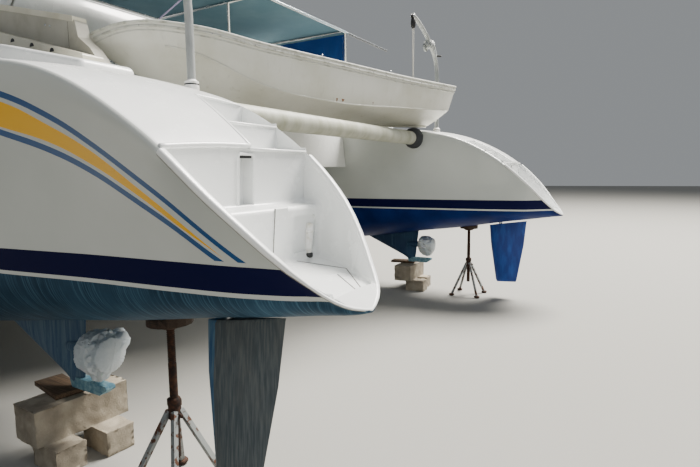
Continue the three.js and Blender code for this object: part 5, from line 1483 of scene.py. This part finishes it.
# Davits: bent alloy tubes in a moulded collar, with a clamp band, and a hand winch with its
# crank on the bend. The tube's anodising has gone chalky.
chalky_alloy = worn("chalky_alloy", "#a3a6a6", 0.55, 0.6, tint=((45, 4, (1, 1, 4)), "#aaadac", "#858a8a", 0.35, 0.8),
                    relief=[((4, 4), 0.25, 0.4)])
DAVITS = [("port", 1, 1540, 2010), ("starboard", -1, 1545, 2190)]
DAVIT_BEND = [(0, 930), (0, 1130), (0, 1400), (0, 1650), (-70, 1900), (-310, 2100), (-560, 2215), (-790, 2275)]
WINCH_Y, WINCH_Z, SHEAVE_Y, SHEAVE_Z = -290, 2030, -792, 2262
for side, sign, x, y in DAVITS:
    def davit_at(dx, dy, z):
        return at(x + dx, sign * (y + dy), z)

    davit = tube(f"{side}_davit_arm", [davit_at(0, dy, z) for dy, z in DAVIT_BEND], 0.0255, 28,
                 [chalky_alloy, white_plastic, black_rubber, stainless], steps=8)
    crank = [davit_at(-60, WINCH_Y, WINCH_Z), davit_at(-74, WINCH_Y - 2, WINCH_Z), davit_at(-80, -262, 1985),
             davit_at(-82, -215, 1912)]
    joined(davit, rod("collar", [davit_at(0, 0, z) for z in (950, 1000, 1030, 1036)], [0.045, 0.044, 0.043, 0.034],
                      28, white_plastic),
           rod("band", [davit_at(0, 0, z) for z in (1009, 1017)], 0.0442, 28, black_rubber),
           rod("drum", [davit_at(d, WINCH_Y, WINCH_Z) for d in (-58, -54, -36, -35, 35, 36, 54, 58)],
               [0.05, 0.06, 0.06, 0.036, 0.036, 0.06, 0.06, 0.05], 28, chalky_alloy),
           prism("bracket", rounded(corners(x - 30, x + 30, WINCH_Z, WINCH_Z + 70), 8),
                 *sorted((sign * (y - 340), sign * (y - 250))), materials=[chalky_alloy]),
           tube("crank", crank, 0.0065, 10, [stainless], steps=4),
           rod("crank_grip", [davit_at(-82, -214, 1910), davit_at(-132, -214, 1904)], 0.0115, 14, black_rubber),
           rod("sheave", [davit_at(d, SHEAVE_Y, SHEAVE_Z) for d in (-14, -12, -4, 4, 12, 14)],
               [0.02, 0.03, 0.021, 0.021, 0.03, 0.02], 24, black_rubber),
           rod("cheek", [davit_at(d, SHEAVE_Y, SHEAVE_Z) for d in (-17, 17)], 0.018, 16, stainless))
    fitted(davit, "boat", "alloy", f"{side}_davit")

# Tender: a hard-chined open dinghy, moulded in off-white gelcoat that has weathered, with two
# rubbing strakes along its sheer, thwarts, spray rails, and brown rust runs from its fittings.
TURN, PITCH, LIST = radians(68.2), radians(1.1), radians(6)
TENDER_FOOT = (1660, -2127, 982)


def aboard(u, v, w):
    """A place in the tender's own frame, mm: u from its transom, v to its side, w up from its keel."""
    v, w = v * cos(LIST) - w * sin(LIST), v * sin(LIST) + w * cos(LIST)
    u, w = u * cos(PITCH) - w * sin(PITCH), u * sin(PITCH) + w * cos(PITCH)
    return at(TENDER_FOOT[0] + u * cos(TURN) - v * sin(TURN), TENDER_FOOT[1] + u * sin(TURN) + v * cos(TURN),
              TENDER_FOOT[2] + w)


FRAMES = np.array([(0, -60, 480, 490, 372, 215, 85), (915, 0, 567, 475, 470, 150, 40), (1830, 0, 612, 496, 503, 115, 48),
                   (2640, 0, 582, 546, 470, 205, 69), (3350, 0, 480, 630, 390, 450, 177),
                   (3810, 20, 275, 625, 205, 480, 373), (3985, 60, 50, 560, 40, 505, 470)], float)
tender_white, tree, shader, where = surface("tender_gelcoat", "#dcdcd2", 0.42, coat_weight=0.1)
chalk = ramp(tree, mottle(tree, where, 500, 4), "#e0e0d8", "#c9c8ba", 0.35, 0.8)
grime = ramp(tree, mottle(tree, where, 60, 5, (1, 1, 5)), 0.0, 0.35, 0.56, 0.85)
# Darker towards the keel, in the grime's colour: painted shade on the tender's underside.
low = ramp(tree, add(tree, "ShaderNodeSeparateXYZ", {"Vector": where}).outputs["Z"], 0.5, 0.0, 2.24, 2.62)
colour = mixed(tree, reckon(tree, "ADD", grime, low, 0), chalk, linear("#8f8d78"))
wire(tree, colour, shader, "Base Color")
bump(tree, shader, mottle(tree, where, 260, 2), 2.4, 0.5)
bump(tree, shader, mottle(tree, where, 14, 4), 0.25, 0.4)
strake_rubber = worn("strake_moulding", "#c2c3ba", 0.6, tint=((70, 5), "#c8c9c1", "#8f8f84", 0.42, 0.8))
rust_stain = worn("rust_run", "#7c5230", 0.8)
SIDE_FULL, SIDE_STEPS, LOW_STEPS = 7, 8, 7


def frame_at(u):
    rake, gunwale, top, chine, bend, keel_line = between(FRAMES, u)[1:]
    return rake, max(gunwale, 30), top, max(chine, 20), bend, keel_line


def side_at(u, z):
    """Half the tender's breadth at a height on its flat side, and what share of the side lies below."""
    rake, gunwale, top, chine, bend, keel_line = frame_at(u)
    share = (z - bend) / (top - bend)
    return chine + (gunwale - chine) * share, share


def outer_half(u):
    """Half the outer skin's section from keel to sheer: slightly full bottom, hard chine, flared side."""
    rake, gunwale, top, chine, bend, keel_line = frame_at(u)
    points = [(chine * t, keel_line + (bend - keel_line) * t**1.25) for t in np.linspace(0, 1, LOW_STEPS + 1)]
    for t in np.linspace(0, 1, SIDE_STEPS + 1)[1:]:
        bow = SIDE_FULL * sin(pi * t) * min(1, u / 600)
        points.append((chine + (gunwale - chine) * t + bow, bend + (top - bend) * t))
    return [(u + rake * (z - keel_line) / (top - keel_line), y, z) for y, z in points]


def skin_row(u, inset, floor):
    """The outer skin's half section, or the hollow's, drawn in from it and raised off its bottom."""
    half = outer_half(u)
    if not inset:
        return half
    keel_line, count = frame_at(u)[5], len(half) - 1
    return [(a, max(0 if k == 0 else 4, y - inset * (k / count if k < 4 else 1)),
             max(z + (floor if k < 8 else 0), keel_line + floor)) for k, (a, y, z) in enumerate(half)]


LONG = list(np.linspace(0, 3700, 60)) + list(np.linspace(3740, 3985, 10))
outer_rows, inner_rows = [], []
for u in LONG:
    half = skin_row(u, 0, 0)
    outer_rows.append([aboard(a, y, z) for a, y, z in half[:0:-1]] + [aboard(a, -y, z) for a, y, z in half])
INNER_SPAN = [u for u in LONG if 34 <= u <= 3900]
for u in [30] + INNER_SPAN + [3925]:
    half = skin_row(u, 22, 26)
    a, y, z = half[-1]
    half.append((a, y, z + 60))
    inner_rows.append([aboard(a, y, z) for a, y, z in half[:0:-1]] + [aboard(a, -y, z) for a, y, z in half])
tender = outward(ribbon("tender_hull", outer_rows, materials=[tender_white, strake_rubber, rust_stain,
                                                              white_plastic, stainless]))
hollow = outward(ribbon("hollow", inner_rows, materials=[tender_white]))
tender = carved(tender, hollow)
THWARTS, THWART_UNDER, THWART_TOP = [(34, 700), (1450, 1720), (2650, 2900)], 322, 356


def thwart(from_u, to_u):
    edges = [(u, side_at(u, THWART_TOP)[0] - 10) for u in np.linspace(from_u, to_u, 8)]
    outline = [(u, -v) for u, v in edges] + [(u, v) for u, v in edges[::-1]]
    rows = [[aboard(u, v, w) for u, v in outline] for w in (THWART_UNDER, THWART_TOP - 6, THWART_TOP)]
    return outward(ribbon("thwart", rows, materials=[tender_white]))


smooth(tender, 30)
for a, b in THWARTS:
    joined(tender, smooth(thwart(a, b), 30))


def sheer_line(down, out, side, span=(0, 3960)):
    """A line along the tender's side, so far down from its sheer and so far out."""
    points = []
    for u in np.linspace(*span, 34):
        rake, _, top, _, _, keel_line = frame_at(u)
        points.append(aboard(u + rake * (top - down - keel_line) / (top - keel_line),
                             side * (side_at(u, top - down)[0] + out), top - down))
    return points


for side in (1, -1):
    chine_line = [aboard(u, side * (frame_at(u)[3] + 1), frame_at(u)[4]) for u in np.linspace(60, 3500, 30)]
    joined(tender, tube("gunwale", sheer_line(-2, -8, side), 0.017, 12, [strake_rubber], steps=2, squash=0.75),
           tube("strake", sheer_line(34, 4, side), 0.0125, 12, [strake_rubber], steps=2, squash=0.9),
           tube("strake", sheer_line(64, 3, side), 0.0075, 10, [strake_rubber], steps=2, squash=0.9),
           tube("chine", chine_line, 0.009, 10, [tender_white], steps=2),
           ruled("rail_screws", [sheer_line(34, 15, side, (90, 3700))], {"Pitch": 0.19, "Length": 0.004, "Radius": 0.0045},
                 screwed, stainless))
cap = [aboard(-62, v, 492) for v in np.linspace(-470, 470, 12)]
joined(tender, tube("transom_cap", cap, 0.018, 12, [strake_rubber], steps=2, squash=0.8),
       tube("skeg", [aboard(u, 0, frame_at(u)[5] - 6) for u in np.linspace(20, 2600, 12)], 0.014,
            10, [tender_white], steps=2),
       rod("drain", [aboard(-32, 120, 150), aboard(-52, 120, 150)], 0.018, 16, white_plastic))
# Rowlock plates on the gunwale and the rust that has run from their bolts.
for u, side in ((1120, 1), (1120, -1), (2050, 1), (2050, -1)):
    _, gunwale, top, *_ = frame_at(u)
    joined(tender, rod("rowlock", [aboard(u, side * (gunwale - 14), top + rise) for rise in (4, 34)], 0.012, 14, stainless))


def run_of_rust(u, drop, width, length):
    """A thin tapering stain lying 0.6 mm off the side."""
    rows = []
    for t in np.linspace(0, 1, 10):
        row = []
        for s in (-1, -0.4, 0.4, 1):
            along = u + s * width * (1 - 0.8 * t)
            z = frame_at(along)[2] - drop - length * t
            v, share = side_at(along, z)
            row.append(aboard(along, v + SIDE_FULL * sin(pi * max(0, min(1, share))) + 0.6, z))
        rows.append(row)
    return ribbon("stain", rows, closed=False, materials=[rust_stain])


for u, width, length in ((1760, 20, 26), (1836, 11, 44), (1345, 7, 24)):
    joined(tender, run_of_rust(u, frame_at(u)[2] - frame_at(u)[4] - 40, width, length))
fitted(tender, "boat", "tender_gelcoat", "tender")

# Folded cover on the tender's stern seat: blue acrylic canvas in loose folds.
COVER = np.array([(465, 40, 20), (480, 120, 60), (560, 205, 108), (640, 248, 138), (750, 266, 148),
                  (860, 262, 150), (970, 200, 120), (1040, 110, 64), (1052, 40, 22)], float)
rows = []
for u in np.linspace(465, 1052, 56):
    half, height = between(COVER, u)[1:]
    row = []
    for a in around(64):
        q = Vector((u / 110, 2.4 * cos(a), 2.4 * sin(a)))
        crease = 1 - min(1, abs(noise.noise(q * 1.9 + Vector((5, 1, 2)))) * 3.2)
        fold = 1 + 0.10 * noise.noise(q * 1.2) - 0.16 * crease * max(0.0, sin(a) + 0.35)
        v, w = half * cos(a) * fold, height + height * sin(a) * fold
        row.append(aboard(u + 8 * noise.noise(q * 2), v, THWART_TOP + 2 + max(0, w)))
    rows.append(row)
cover = skin("folded_cover", rows, [woven("cover_canvas", "#06467c", "#1c5f97"), trim_webbing], 60)
fitted(cover, "boat", "canvas", "tender_cover")

# Falls that hold the tender: doubled braided line from the davits' heads to its stern seat
# and to its bow eye.
braid = worn("braided_line", "#d8d6cf", 0.8, relief=[((3, 2, (1, 1, 3)), 0.5, 0.6)])
violet_braid = worn("violet_braid", "#8d84a6", 0.8, tint=((5, 2, (1, 1, 3)), "#9a92b4", "#6b6288", 0.45, 0.6),
                    relief=[((3, 2, (1, 1, 3)), 0.5, 0.6)])
LINE_R, BLOCK_R = 0.004, [0.012, 0.026, 0.03, 0.026, 0.012]
stern_x, stern_y = 1545, -(2190 - 780)


def seat_below(x, y):
    """Height of the stern seat under a point of the plan, found by walking the tender's frame."""
    u, v = 0.0, 0.0
    for _ in range(6):
        p = aboard(u, v, THWART_TOP)
        dx, dy = x - (p.x + MIDSHIPS) * 1000, y - p.y * 1000
        u, v = u + dx * cos(TURN) + dy * sin(TURN), v - dx * sin(TURN) + dy * cos(TURN)
    return (aboard(u, v, THWART_TOP).z - BOOT_TOP) * 1000


seat = seat_below(stern_x, stern_y)


def fall_part(name, side, materials):
    """One part of the stern fall, a little to one side at its head and in line at its foot."""
    return tube(name, [at(stern_x + side * off, stern_y, z) for off, z in ((9, SHEAVE_Z), (3, seat + 250), (0, seat + 96))],
                LINE_R, 10, materials, steps=3)


fall = fall_part("stern_fall", 1, [braid, stainless, black_rubber])
joined(fall, fall_part("part", -1, [braid]),
       tube("block", [at(stern_x, stern_y, z) for z in (2130, 2150, 2190, 2232, 2244)], BLOCK_R,
            20, [black_rubber], steps=2),
       tube("block", [at(stern_x, stern_y, seat + rise) for rise in (60, 74, 96, 118, 130)],
            [0.012, 0.02, 0.024, 0.02, 0.012], 20, [black_rubber], steps=2),
       rod("shackle", [at(stern_x, stern_y, seat + rise) for rise in (3, 64)], 0.014, 16, stainless))
fitted(fall, "boat", "stainless")

# Bow line: doubled violet braid, hauled taut from the port davit's head to a strop between the
# tender's bow gunwales.
STROP_U = 3420
_, strop_half, strop_top, *_ = frame_at(STROP_U)
apex = aboard(STROP_U, 0, strop_top + 190)
head = at(1540, 1218, SHEAVE_Z)


def strop_eye(side, rise):
    return aboard(STROP_U, side * (strop_half - 12), strop_top + rise)


bow_line = tube("bow_line", [head + Vector((0, 0.008, 0)), apex + Vector((0, 0.004, 0.01))], LINE_R,
                10, [violet_braid, black_rubber, stainless], steps=1)
joined(bow_line, rod("part", [head - Vector((0, 0.008, 0)), apex - Vector((0, 0.004, -0.01))], LINE_R, 10, violet_braid),
       tube("block", [head + (apex - head) * t for t in (0.05, 0.06, 0.08, 0.1, 0.11)], BLOCK_R,
            20, [black_rubber], steps=2),
       *[rod("strop", [apex, strop_eye(side, 6)], LINE_R, 10, violet_braid) for side in (-1, 1)],
       *[rod("eye", [strop_eye(side, rise) for rise in (2, 14)], 0.011, 14, stainless) for side in (-1, 1)])
fitted(bow_line, "boat", "stainless")

# Pouch for loose line: grey acrylic canvas, hung over the aft crossbeam near its starboard end.
rows = []
for y, swell in ((-1770, 0.84), (-1790, 0.97), (-1830, 1.0), (-1870, 1.03), (-1905, 0.98), (-1925, 0.86)):
    row = []
    for a in around(48):
        fold = 1 + 0.05 * noise.noise(Vector((y / 60, 2.2 * cos(a), 2.2 * sin(a))))
        row.append(at(BEAM_AFT_X - 12 + 112 * swell * fold * cos(a), y,
                      BEAM_AFT_Z + 8 + (122 if sin(a) > 0 else 138) * swell * fold * sin(a)))
    rows.append(row)
pouch = skin("line_pouch", rows, [woven("pouch_canvas", "#3b3e41", "#55585a")], 60)
fitted(pouch, "boat", "canvas")
